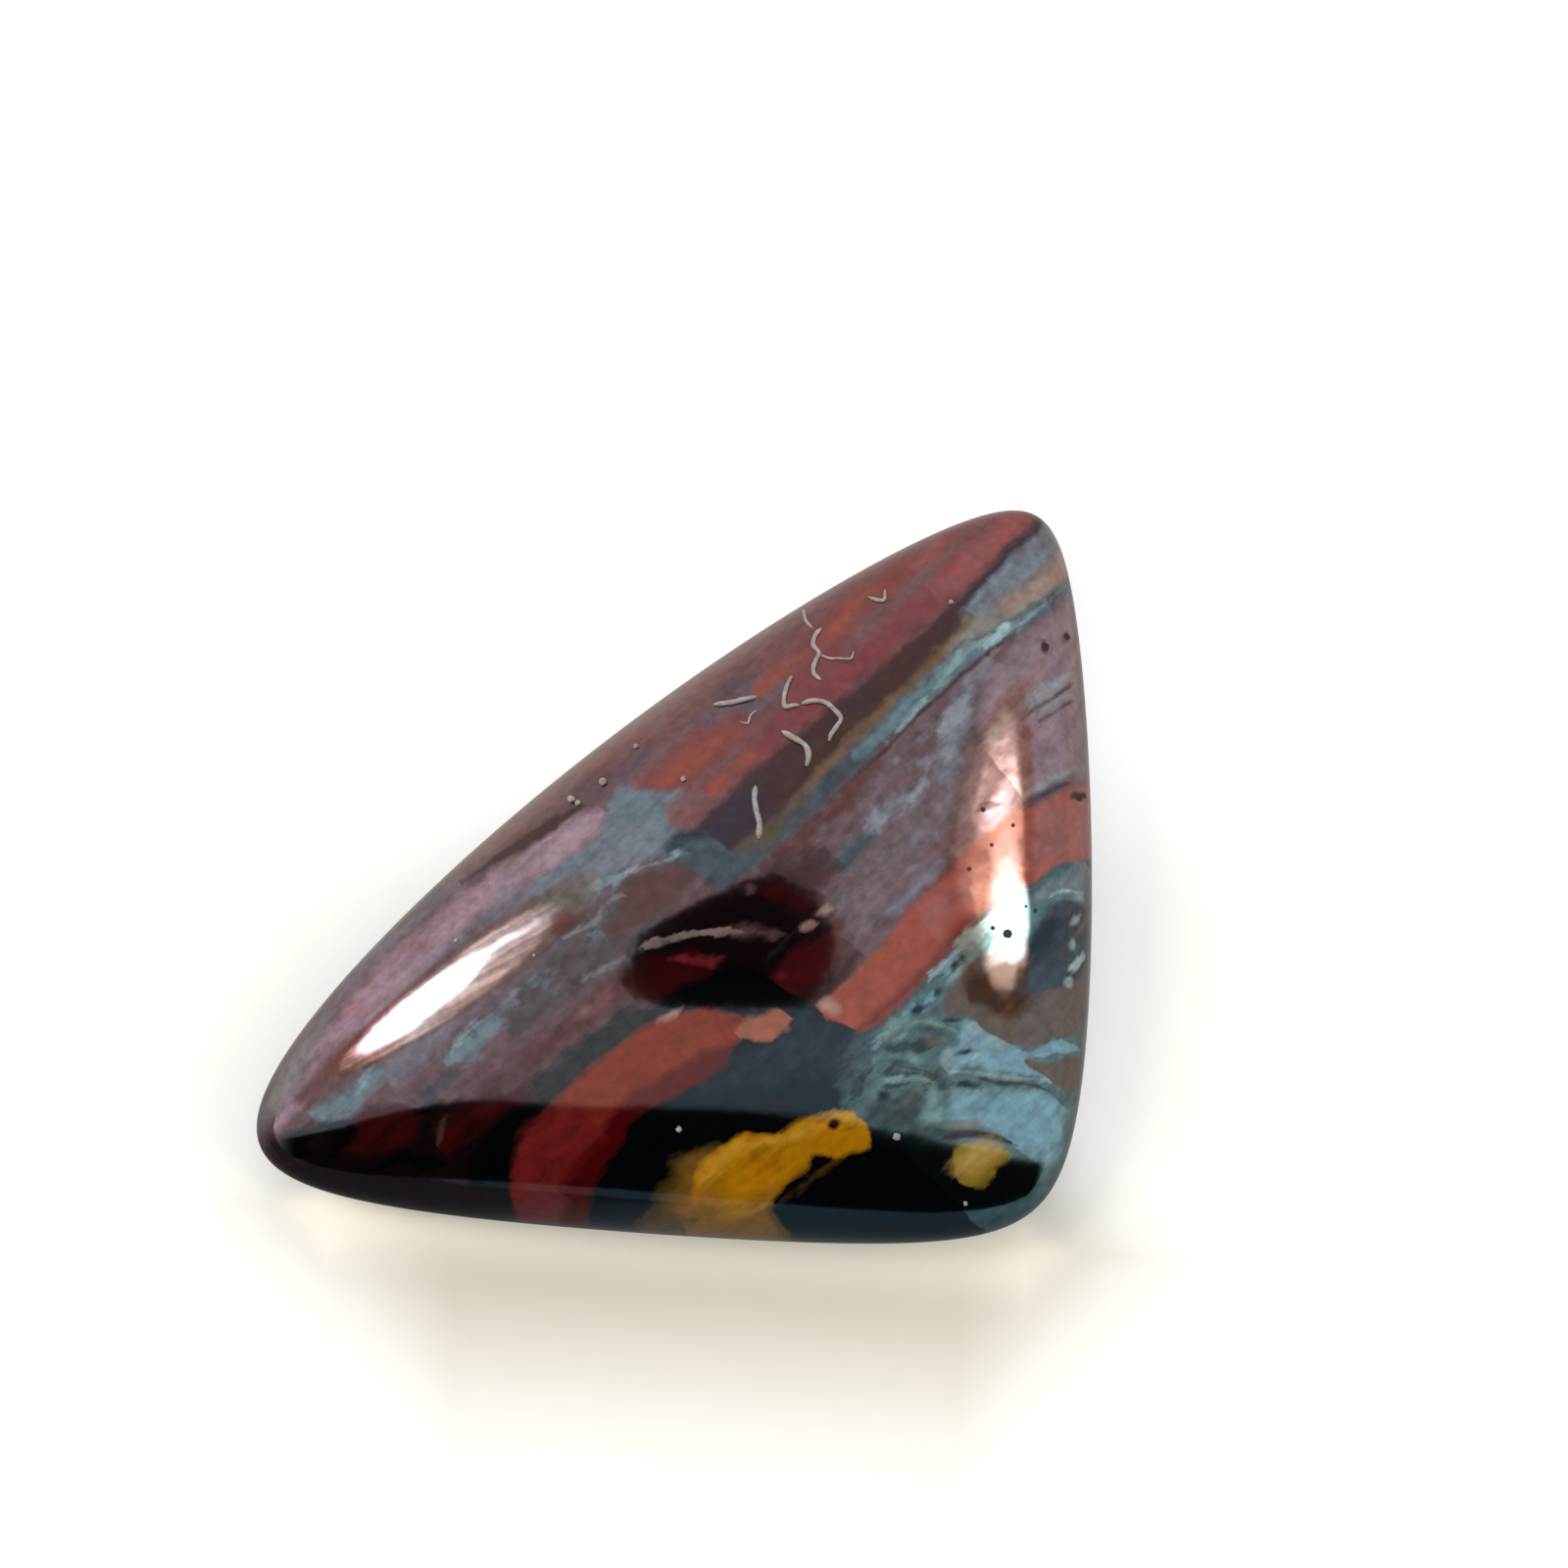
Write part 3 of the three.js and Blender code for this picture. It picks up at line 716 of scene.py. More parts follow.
    vein("grey_light", [(-15.2, 2.9), (-14, 3.35, 0.3), (-13, 3.7, 0.3), (-12, 4, 0.25),
         (-10.6, 4.35)], 0.15),
    band("lilac", [(-15.2, 2.6), (-13, 3.3), (-11.5, 3.9), (-9, 4.45), (-7, 4.5), (-5, 4.45),
         (-3, 4.2), (-1.5, 4), (-0.4, 3.6)], [(-15.2, 2.5), (-13.5, 2.8), (-12, 3.3), (-9, 3.4),
         (-6, 3.6), (-4.5, 3.5), (-3, 3.3), (-1, 3.1), (-0.4, 3.4)], 0.15, 0.12),
    vein("slate_violet", [(-11.5, 4.2), (-9.8, 4.55, 0.08), (-8, 4.72, 0.12), (-6, 4.72, 0.1),
         (-4.8, 4.7)], 0.08, 0.1),
    vein("maroon_deep", [(-5.2, 4.68), (-4, 4.55, 0.09), (-3, 4.38, 0.16), (-2, 4.22, 0.17),
         (-1.2, 4.1, 0.1), (-0.6, 3.98)], 0.05),
    band("slate_violet", [(-10.8, 2), (-7, 3.55), (-5, 3.55), (-3.5, 3.3)],
         [(-10.8, 1.5), (-7, 1.5), (-5, 1.6), (-3.5, 2.2)], 0.3, 0.2),
    band("slate_blue", [(-3.8, 3.1), (-3.2, 3.25), (-1.5, 3.15), (-0.5, 3.25), (0, 3.6), (0.4, 3.65),
         (0.8, 3.4), (1.2, 3), (1.8, 2.35)], [(-3.8, 2.7), (-3.2, 1.9), (-2, 1.75), (-1, 1.8),
         (-0.3, 1.55), (0.3, 1.3), (1, 1.7), (1.8, 2.3)], 0.15, 0.2),
    vein("steel", [(-0.6, 2.9), (0.1, 3.1, 0.4), (0.5, 2.8, 0.6), (0.9, 2.5, 0.4),
         (1.4, 2.1)], 0.2, 0.2),
    band("teal_dull", [(-0.7, 1.4), (0, 1.4), (0.5, 1.75), (0.8, 1.9), (1.2, 1.5), (1.45, 0.9),
         (1.6, 0.2)], [(-0.7, 1.3), (0.1, 0.9), (0.3, 0.2), (0.5, -0.25), (1, -0.6),
         (1.6, -0.1)], 0.2, 0.2),
    vein("slate", [(0.1, 1.45), (0.5, 1.5, 0.1), (1, 1.35, 0.1), (1.4, 1)], 0.2, 0.15),
    vein("teal_light", [(-2.7, 2.1), (-2.2, 2.05, 0.12), (-1.4, 1.8, 0.09), (-0.7, 1.55, 0.05),
         (-0.2, 1.3, 0.06), (0.6, 1)], 0.07, 0.16),
    band("rose", [(0.85, 2.2), (1.2, 2.4), (1.9, 2.35), (2.2, 2.2)],
         [(0.85, 2), (0.95, 1.55), (1.6, 1.5), (2.2, 1.6)], 0.12),
    band("maroon_red", [(-2.9, 0.9), (-2.2, 1.1), (-1.6, 1.45), (-0.8, 1.35), (-0.2, 1.15),
         (0.3, 0.8), (0.4, 0.3)], [(-2.9, 0.7), (-2, 0.35), (-1, 0.15), (0, 0.1), (0.4, 0.2)],
         0.15, 0.15),
    vein("grey_light", [(-4, 1.5), (-3.3, 1.38, 0.06), (-2.9, 1.28, 0.1),
         (-2.5, 1.45, 0.04), (-1.7, 1.3)], 0.06, 0.14),
    spot("grey_light", -6.3, 1.25, 0.5, 0.16, 0, 0.06, 0.08),
    # The left end: teal patches, lilac tip, and the stone in shadow
    band("steel", [(-13.4, 2.5), (-12.4, 2.4), (-11.3, 2.4), (-10.8, 2.1)],
         [(-13.4, 2.2), (-12.7, 1.4), (-11.8, 1.6), (-10.8, 1.9)], 0.12, 0.15),
    spot("teal_light", -11.45, 2.15, 0.6, 0.26, 15, 0.08, 0.12),
    band("steel", [(-9.2, 1), (-8.6, 1.3), (-7.6, 1.35), (-7, 1.2), (-6.3, 1.1)],
         [(-9.2, 0.8), (-8.4, 0.55), (-7.6, 0.7), (-6.8, 0.9), (-6.3, 1)], 0.1, 0.2),
    vein("teal_light", [(-8.9, 1.15), (-8.2, 1.25, 0.07), (-7.3, 1.25)], 0.07, 0.15),
    vein("teal_dull", [(-10.6, 0.5), (-9.8, 0.55, 0.18), (-8.9, 0.6)], 0.15, 0.15),
    vein("rose", [(-13.4, 3.05), (-12.8, 3.05, 0.22), (-11.8, 3.2, 0.3), (-10.6, 3.4)],
         0.2, 0.1),
    spot("maroon_red", -12.6, 3.05, 1, 0.24, 10, 0.12, 0.08),
    band("maroon_deep", [(-13.4, 1.1), (-12.6, 1.6), (-11.5, 1.3), (-10.8, 0.4)],
         [(-13.4, 0.8), (-12.6, 0), (-11.8, -0.2), (-10.8, 0.1)], 0.16, 0.15),
    band("dark_slate", [(-15, 2.6), (-14.2, 2.4), (-13.3, 2), (-12.6, 1.4)],
         [(-15, 1.6), (-14.2, 1.3), (-13.5, 0.9), (-12.6, 1.2)], 0.12, 0.15),
    spot("ink_brown", -13.8, 1.6, 0.7, 0.5, -20, 0.15, 0.1),
    vein("dark_slate", [(-13.2, -0.1), (-12.4, -0.45, 0.3), (-11.8, -0.9, 0.35),
         (-11.2, -1.5)], 0.15, 0.2),
    vein("dark_slate", [(-11, 0.35), (-10.5, 0.2, 0.16), (-9.9, 0.15)], 0.1, 0.1),
    band("maroon_deep", [(-11, -0.5), (-10.2, -0.1), (-9.2, -0.5), (-8.2, -1), (-7.8, -1.4)],
         [(-11, -1.4), (-10.2, -1.5), (-9.2, -1.4), (-7.8, -1.5)], 0.16, 0.2),
    spot("vein_brown", -10.65, -0.55, 0.6, 0.14, 40, 0.07, 0.06),
    spot("maroon_red", -9.2, -0.95, 0.8, 0.36, -20, 0.1, 0.08),
    band("dark_purple", [(-15.2, 1.6), (-14.2, 1.2), (-13.3, 0.1), (-12.4, -1), (-11.6, -2),
         (-11, -3)], [(-15.2, -2), (-13, -4), (-11, -4.2)], 0.1, 0.1),
    spot("dark_brown", -15.4, 1.4, 0.6, 2.8, 0, 0.12, 0.05),
    # The gold
    band("gold_dim", [(-8.2, -7.2), (-7.5, -7), (-6.9, -6.5), (-6.3, -6.3), (-5.9, -6),
         (-5.2, -6.35), (-4.6, -6.55), (-4.4, -7.5)], [(-8.2, -9.5), (-5.6, -12), (-4.9, -10.6),
         (-4.7, -9.2), (-4.4, -7.6)], 0.25, 0.15),
    band("gold_brown", [(-7.1, -7.8), (-6.4, -6.9), (-5.6, -6.5), (-4.8, -6.8)],
         [(-7.1, -9.6), (-5.7, -11), (-5.1, -10.2), (-4.8, -9)], 0.35, 0.15),
    band("gold", [(-6.4, -7.6), (-5.9, -6.9), (-5.3, -6.72), (-4.1, -6.7), (-3.75, -6.8),
         (-3.45, -7.1), (-3.15, -7.42), (-2.2, -7.65), (-1.6, -7.97), (-1.2, -8.2), (-0.93, -8.6),
         (-0.82, -9)], [(-6.4, -8.2), (-5.8, -8.9), (-5.3, -9.1), (-4.9, -9.1), (-4.2, -8.97),
         (-3.6, -8.9), (-3.1, -8.95), (-2.75, -8.8), (-2.3, -9.2), (-1.8, -9.5), (-1.25, -9.72),
         (-1, -9.45), (-0.82, -9.05)], 0.1, 0.08),
    spot("gold_brown", -6.3, -8.1, 1, 1.6, 10, 0.4, 0.15),
    spot("gold_brown", -4.9, -8.85, 0.9, 0.3, 5, 0.15, 0.1),
    vein("gold_bright", [(-6, -7.1), (-5.4, -7.05, 0.18), (-4.4, -7, 0.2),
         (-3.8, -7.2, 0.12), (-3.2, -7.65, 0.1), (-2.4, -7.95, 0.14), (-1.8, -8.25)], 0.14, 0.1),
    spot("gold_bright", -1.3, -8.3, 0.7, 0.24, -50, 0.1, 0.1),
    vein("dark_purple", [(0.4, -11), (0.8, -11.15, 0.14), (1.2, -11.5, 0.17), (1.6, -11.95, 0.17),
         (2, -12.5, 0.12), (2.3, -13.1)], 0.07, 0.08),
    band("gold_olive", [(0.15, -12.5), (0.35, -12.05), (0.6, -11.6), (0.85, -11.55), (1.1, -11.9),
         (1.5, -12.3), (1.8, -12.7), (1.95, -12.95)], [(0.15, -12.6), (0.3, -12.95), (0.45, -13.15),
         (0.75, -13.3), (1.1, -13.2), (1.3, -13), (1.6, -13.1), (1.95, -13)], 0.08, 0.1),
    spot("gold_pale", 0.95, -12.3, 1.2, 0.7, -20, 0.25, 0.12),
    spot("gold_cap", 1.4, -11.22, 0.9, 0.2, -42, 0.08, 0.06),
    spot("dark_brown", -1.58, -8.4, 0.38, 0.36, 0, 0.06, 0.08),
    # Small dark specks in the teal, and the ones at the right
    spot("teal_speck", 2.62, -7.42, 0.46, 0.24, -20),
    spot("teal_speck", 3.5, -7.42, 0.26, 0.2),
    spot("teal_speck", 4.4, -7.2, 0.32, 0.2, 20),
    spot("teal_speck", 4.72, -7.15, 0.26, 0.15),
    spot("teal_speck", 2.95, -9.52, 0.55, 0.15, -32),
    spot("teal_speck", 0.03, -8.72, 0.3, 0.28, 0, 0.08),
    spot("teal_speck", -1.75, -6.5, 0.6, 0.3, 0, 0.12),
    spot("dark_brown", 13.25, -1.92, 0.4, 0.24, 50),
    spot("dark_brown", 14.05, -2.28, 0.28, 0.2, 30, 0.08),
    spot("dark_brown", 10.85, -6.1, 0.3, 0.18, -30),
    spot("dark_brown", 11.1, -6.4, 0.36, 0.2, -70),
]

# Small pits in the polish, in the plan: where, and how wide.
PITS = [(10.37, -2.14, 0.36), (9.91, -1.97, 0.2), (9.18, -0.19, 0.24), (10.96, -1.28, 0.2),
        (11.24, -1.39, 0.24), (9.61, 1.66, 0.22), (9.88, 0.58, 0.2), (10.56, 1.21, 0.2),
        (11.67, 6.92, 0.34), (12.39, 7.34, 0.3), (12.71, 2.24, 0.32), (12.89, 2.33, 0.26)]

# The span of the markings' curves.
ALONG_LOW, ALONG_HIGH = -17.0, 17.0
ACROSS_LOW, ACROSS_HIGH = BOTTOM - 1, TOP + 1

# How bands close past their ends: the upper line drops this far under the lower one, over this run.
END_DROP = 2.5
END_RUN = 0.2

EDGE_WIDTH = 1.2  # half the width of a marking's edge, as a share of how soft it is


def closed_ends(upper, lower):
    """The upper line, dropping under the lower one just past both ends."""
    start = max(upper[0][0] - END_RUN, ALONG_LOW)
    end = min(upper[-1][0] + END_RUN, ALONG_HIGH)
    first = (start, min(upper[0][1], lower[0][1]) - END_DROP)
    last = (end, min(upper[-1][1], lower[-1][1]) - END_DROP)
    return [first, *upper, last]


def marking_mask(nodes, marking, place, along, across, rough, clouds):
    """1 inside a marking and 0 outside, with its soft and ragged edge."""
    if "centre" in marking:
        half_length, half_width = marking["size"]
        small = min(half_length, half_width)
        away = nodes.vector("SUBTRACT", place, (*marking["centre"], 0.0))
        if marking["turn"]:
            away = nodes.turned(away, -marking["turn"])
        away = nodes.vector("MULTIPLY", away, (small / half_length, small / half_width, 0.0))
        inside = nodes.math("SUBTRACT", small, nodes.vector("LENGTH", away))
        inside = nodes.math("ADD", inside, rough)
    else:
        span = ACROSS_HIGH - ACROSS_LOW
        edges = []
        for line in (closed_ends(marking["upper"], marking["lower"]), marking["lower"]):
            points = [((a - ALONG_LOW) / (ALONG_HIGH - ALONG_LOW), (b - ACROSS_LOW) / span)
                      for a, b in line]
            edges.append(nodes.curve(along, points))
        below_upper = nodes.math("SUBTRACT", edges[0], across)
        above_lower = nodes.math("SUBTRACT", across, edges[1])
        inside = nodes.math("MINIMUM", below_upper, above_lower)
        inside = nodes.math("MULTIPLY_ADD", inside, span, rough)
    mask = nodes.ramp(inside, EDGE_WIDTH * marking["soft"])
    if marking["cloud"]:
        number, low, high = marking["cloud"]
        mask = nodes.math("MULTIPLY", mask, nodes.step(clouds[number], low, high))
    return mask


def pits_mask(nodes, place, rough):
    """1 in the pits of the polish and 0 elsewhere."""
    deepest = 0.0
    for x, y, width in PITS:
        away = nodes.vector("MULTIPLY", nodes.vector("SUBTRACT", place, (x, y, 0.0)),
                            (1.0, 1.0, 0.0))
        depth = nodes.math("SUBTRACT", width / 2, nodes.vector("LENGTH", away))
        deepest = nodes.math("MAXIMUM", depth, deepest)
    uneven = nodes.math("MULTIPLY_ADD", rough, 3.0, 1.0)
    return nodes.step(nodes.math("MULTIPLY", deepest, uneven), 0.02, 0.06)


def vary(nodes, scattered, mirrored, solid, along, across):
    """Lighter and darker streaks along the bands, thin steel-blue films, red stains and mottle."""
    # The noises: streaks, mottle, and the patches of film and stain
    layers = nodes.combine(nodes.math("MULTIPLY", along, 0.22),
                           nodes.math("MULTIPLY", across, 2.4), 0.0)
    streak = nodes.math("SUBTRACT", nodes.noise(layers, 1.0, 4.0, 0.65), 0.5)
    mottle = nodes.math("SUBTRACT", nodes.noise(solid, 2.6, 4.0, 0.55), 0.5)
    patches = nodes.combine(nodes.math("MULTIPLY_ADD", along, 0.45, 20.0), across, 3.0)
    parts = nodes.separate(nodes.noise(patches, 1.5, 3.0, 0.6, colour=True))

    # Lighter and darker
    more = nodes.math("MULTIPLY_ADD", streak, 0.8, nodes.math("MULTIPLY_ADD", mottle, 0.7, 1.0))
    scattered = nodes.scale_colour(scattered, nodes.math("MAXIMUM", more, 0.3))
    more = nodes.math("MULTIPLY_ADD", streak, -1.0, nodes.math("MULTIPLY_ADD", mottle, 1.1, 1.0))
    mirrored = nodes.scale_colour(mirrored, nodes.math("MAXIMUM", more, 0.2))

    # Steel-blue films
    film = nodes.step(parts[0], 0.52, 0.72, 0.0, 0.4)
    steel = nodes.scale_colour(mirrored, 0.85)
    steel = nodes.vector("ADD", steel, (0.01, 0.03, 0.043))
    mirrored = nodes.mix(film, mirrored, steel)
    scattered = nodes.scale_colour(scattered, nodes.math("SUBTRACT", 1.0, film))

    # Red stains
    stain = nodes.step(parts[1], 0.5, 0.72, 0.0, 0.8)
    mirrored = nodes.mix(stain, mirrored, nodes.vector("MULTIPLY", mirrored, (0.95, 0.72, 0.68)))
    scattered = nodes.mix(stain, scattered, nodes.vector("MULTIPLY", scattered, (1.25, 1.05, 1.0)))
    return scattered, mirrored, mottle


def stone_material():
    """Jasper, hematite and golden quartz in bands, all under one polish."""
    material, nodes, surface = new_material("banded_stone")
    coords = nodes.make("ShaderNodeTexCoord").outputs["Object"]
    solid = nodes.vector("ADD", nodes.vector("SCALE", coords, 1 / MM), MIDDLE)

    # Places along the bands and across them, which waver a little
    cos, sin = math.cos(BAND_TURN), math.sin(BAND_TURN)
    straight_along = nodes.vector("DOT_PRODUCT", solid, (cos, sin, 0.0))
    straight_across = nodes.vector("DOT_PRODUCT", solid, (-sin, cos, BAND_LEAN))

    drift = nodes.noise(solid, 0.9, 2.0, colour=True)
    drift_parts = nodes.separate(nodes.vector("SUBTRACT", drift, (0.5, 0.5, 0.5)))
    along = nodes.math("MULTIPLY_ADD", drift_parts[0], 0.3, straight_along)
    across = nodes.math("MULTIPLY_ADD", drift_parts[1], 0.22, straight_across)
    place = nodes.combine(along, across, 0.0)

    # The same as shares of the whole width that the curves of the markings span
    along_share = nodes.math("MULTIPLY_ADD", along, 1 / (ALONG_HIGH - ALONG_LOW),
                             -ALONG_LOW / (ALONG_HIGH - ALONG_LOW))
    across_share = nodes.math("MULTIPLY_ADD", across, 1 / (ACROSS_HIGH - ACROSS_LOW),
                              -ACROSS_LOW / (ACROSS_HIGH - ACROSS_LOW))

    # What makes the edges ragged, and the three clouds that some bands are patchy with
    stretched = nodes.combine(nodes.math("MULTIPLY", straight_along, 0.45), across, 0.0)
    wobble = nodes.math("SUBTRACT", nodes.noise(stretched, 2.2, 4.0, 0.62), 0.5)
    wobble = nodes.math("MULTIPLY", wobble, 6.0)
    cloudy = nodes.combine(nodes.math("MULTIPLY", along, 0.6), across, 5.0)
    clouds = nodes.separate(nodes.noise(cloudy, 1.9, 3.0, 0.6, colour=True))

    scattered, mirrored = MINERALS["mauve"]
    ragged = {}
    for marking in MARKINGS:
        depth = marking["ragged"]
        if depth not in ragged:
            ragged[depth] = nodes.math("MULTIPLY", wobble, depth)
        mask = marking_mask(nodes, marking, place, along_share, across_share, ragged[depth], clouds)
        its_scattered, its_mirrored = MINERALS[marking["kind"]]
        scattered = nodes.mix(mask, scattered, its_scattered)
        mirrored = nodes.mix(mask, mirrored, its_mirrored)

    scattered, mirrored, mottle = vary(nodes, scattered, mirrored, solid, along, across)

    # The rim is less polished and painted darker, as shade under the stone's edge; the pits are less
    # polished too, and painted darker as shade in them
    height = nodes.separate(solid)[2]
    rim_painted_shade = nodes.step(height, 0.9, 1.35, 0.25, 1.0)
    scattered = nodes.scale_colour(scattered, rim_painted_shade)
    mirrored = nodes.scale_colour(mirrored, rim_painted_shade)
    unpolished = nodes.step(height, 0.5, 1.3, 0.4, 0.0)
    pitted = pits_mask(nodes, solid, mottle)
    unpolished = nodes.math("MULTIPLY_ADD", pitted, 0.5, unpolished)
    # Painted shade in the pits: their scattered and mirrored colours are darkened.
    left = nodes.math("MULTIPLY_ADD", pitted, -0.85, 1.0)
    scattered = nodes.scale_colour(scattered, left)
    mirrored = nodes.scale_colour(mirrored, left)

    # How much of the surface is metal
    all_mirrored = nodes.vector("DOT_PRODUCT", mirrored, (1.0, 1.0, 1.0))
    all_scattered = nodes.vector("DOT_PRODUCT", scattered, (1.0, 1.0, 1.0))
    all_sent_back = nodes.math("MULTIPLY_ADD", all_scattered, SCATTER_WEIGHT,
                               nodes.math("ADD", all_mirrored, LEAST_SHINE))
    share = nodes.math("DIVIDE", nodes.math("MULTIPLY", all_mirrored, MOST_METAL), all_sent_back)
    rest = nodes.math("SUBTRACT", 1.0, share)

    bump = nodes.make("ShaderNodeBump")
    nodes.feed(bump.inputs["Height"], nodes.noise(solid, 1.6, 1.0))
    bump.inputs["Strength"].default_value = 0.3
    bump.inputs["Distance"].default_value = 0.01 * MM

    jasper = nodes.shader({
        "Base Color": nodes.scale_colour(scattered, nodes.math("DIVIDE", 1.0, rest)),
        "Metallic": nodes.step(share, 0.6, 0.95),
        "Roughness": nodes.math("ADD", unpolished, 0.05),
        "Normal": bump.outputs[0],
        "IOR": 1.54,
    })
    hematite = nodes.shader({
        "Base Color": nodes.scale_colour(mirrored, nodes.math("DIVIDE", 1.0, share)),
        "Metallic": 1.0,
        "Roughness": nodes.math("ADD", unpolished, 0.08),
        "Normal": bump.outputs[0],
    })
    nodes.feed(surface, nodes.either(share, hematite, jasper))
    return material


# Lint on the polish: the thickness of each fibre and the places in the plan that it runs through.
FIBRES = [
    (0.11, [(4.12, 8.25), (4.15, 7.92), (4.24, 7.69), (4.39, 7.49)]),
    (0.15, [(4.66, 7.47), (4.48, 7.24), (4.41, 7.01), (4.44, 6.83), (4.59, 6.63), (4.5, 6.4),
            (4.41, 6.13), (4.44, 5.9), (4.65, 5.7)]),
    (0.08, [(4.6, 6.58), (4.9, 6.42), (5.2, 6.41), (5.56, 6.4), (5.66, 6.63)]),
    (0.16, [(1.31, 5.02), (1.83, 5.05), (2.23, 5.13), (2.65, 5.21)]),
    (0.15, [(3.74, 5.86), (3.59, 5.54), (3.5, 5.15), (3.53, 4.86), (3.74, 4.88), (3.98, 4.91)]),
    (0.16, [(4.04, 4.94), (4.41, 5.03), (4.77, 4.96), (5.01, 4.77), (5.25, 4.45), (5.1, 4.17),
            (4.94, 3.92), (4.88, 3.73)]),
    (0.19, [(3.44, 4.06), (3.68, 3.9), (3.95, 3.74), (4.16, 3.58), (4.25, 3.3), (4.19, 2.93)]),
    (0.19, [(2.63, 2.32), (2.6, 1.92), (2.66, 1.52), (2.75, 1.15), (2.72, 0.67)]),
    (0.08, [(2.14, 4.41), (2.38, 4.34), (2.47, 4.6), (2.65, 4.75)]),
    (0.13, [(6.14, 8.51), (6.35, 8.39), (6.62, 8.37), (6.66, 8.72)]),
]
FIBRE_SIDES = 8
FIBRE_STEP = 0.06
FIBRE_RADIUS = 0.45  # of its thickness
FIBRE_END = 0.35  # of its radius, which grows to the whole over a few steps
FIBRE_END_STEPS = 3
FIBRE_LUMPS = 0.25
FIBRE_RISE = 0.8  # of its radius, from the dome to its middle

# Dust: the place in the plan and the width of each grain.
GRAINS = [(-3.09, 2.08, 0.24), (-2.88, 1.94, 0.17), (-2.11, 2.60, 0.24), (0.40, 2.58, 0.16),
          (0.28, -8.13, 0.18), (6.97, -8.34, 0.24), (9.13, -10.38, 0.14), (-6.59, -2.35, 0.13),
          (-4.13, -2.86, 0.1), (-1.1, 3.75, 0.16), (8.7, 8.25, 0.16)]
GRAIN_LUMPS = 0.45
GRAIN_RISE = 0.3  # of its width, from the dome to its middle


def smooth_run(places):
    """Points close together along a rounded line through the places."""
    run = []
    for i in range(len(places) - 1):
        before = Vector(places[max(i - 1, 0)])
        start, end = Vector(places[i]), Vector(places[i + 1])
        after = Vector(places[min(i + 2, len(places) - 1)])
        steps = max(round((end - start).length / FIBRE_STEP), 2)
        for k in range(steps):
            t = k / steps
            run.append(0.5 * (2 * start + (end - before) * t
                              + (2 * before - 5 * start + 4 * end - after) * t ** 2
                              + (3 * start - before - 3 * end + after) * t ** 3))
    return run + [Vector(places[-1])]


def make_lint():
    """The fibres: thin tubes that follow the dome, lying on it."""
    points, faces = [], []
    for thickness, places in FIBRES:
        run = smooth_run(places)
        middle_line = []
        for i, place in enumerate(run):
            from_end = min(i, len(run) - 1 - i) / FIBRE_END_STEPS
            radius = FIBRE_RADIUS * thickness * min(FIBRE_END + (1 - FIBRE_END) * from_end, 1.0)
            radius *= 1 + FIBRE_LUMPS * noise.noise(Vector((place.x * 4, place.y * 4, 7.0)))
            rise = dome_height(*place) + radius * FIBRE_RISE
            middle_line.append((Vector((*place, rise)), radius))
        first = len(points)
        for i, (centre, radius) in enumerate(middle_line):
            after = middle_line[min(i + 1, len(run) - 1)][0]
            before = middle_line[max(i - 1, 0)][0]
            along = (after - before).normalized()
            side = along.cross(Vector((0, 0, 1))).normalized()
            up = side.cross(along)
            for k in range(FIBRE_SIDES):
                turn = 2 * math.pi * k / FIBRE_SIDES
                points.append(centre + (side * math.cos(turn) + up * math.sin(turn)) * radius)
        for i in range(len(run) - 1):
            for k in range(FIBRE_SIDES):
                a = first + i * FIBRE_SIDES + k
                b = first + i * FIBRE_SIDES + (k + 1) % FIBRE_SIDES
                faces.append((a, b, b + FIBRE_SIDES, a + FIBRE_SIDES))
        last = first + (len(run) - 1) * FIBRE_SIDES
        faces.append(tuple(range(first + FIBRE_SIDES - 1, first - 1, -1)))
        faces.append(tuple(range(last, last + FIBRE_SIDES)))
    return new_piece("lint_fibres", [to_frame(*p) for p in points], faces)


def make_dust():
    """Small lumpy grains that lie on the dome."""
    chance = random.Random(5)
    grains = bmesh.new()
    for x, y, width in GRAINS:
        centre = Vector((x, y, dome_height(x, y) + GRAIN_RISE * width))
        made = bmesh.ops.create_icosphere(grains, subdivisions=2, radius=1.0)
        seed = Vector((chance.random() * 9, chance.random() * 9, 0))
        for corner in made["verts"]:
            lump = 1 + GRAIN_LUMPS * noise.noise(corner.co * 1.4 + seed)
            corner.co = to_frame(*(centre + corner.co * lump * width / 2))
    mesh = bpy.data.meshes.new("dust_specks")
    grains.to_mesh(mesh)
    grains.free()
    mesh.shade_smooth()
    return put_in_scene("dust_specks", mesh)


def lint_material():
    """Pale fluff, a little uneven."""
    material, nodes, surface = new_material("pale_lint")
    place = nodes.vector("SCALE", nodes.make("ShaderNodeTexCoord").outputs["Object"], 1 / MM)
    uneven = nodes.step(nodes.noise(place, 5.0, 3.0), 0.35, 0.65)
    nodes.feed(surface, nodes.shader({
        "Base Color": nodes.mix(uneven, (0.25, 0.23, 0.22, 1), (0.38, 0.36, 0.35, 1)),
        "Roughness": 0.85,
        "Sheen Weight": 0.3,
    }))
    return material


FLOOR_WIDTH = 3000.0
FLOOR_GAP = 0.02  # under the stone, so that the two faces don't flicker


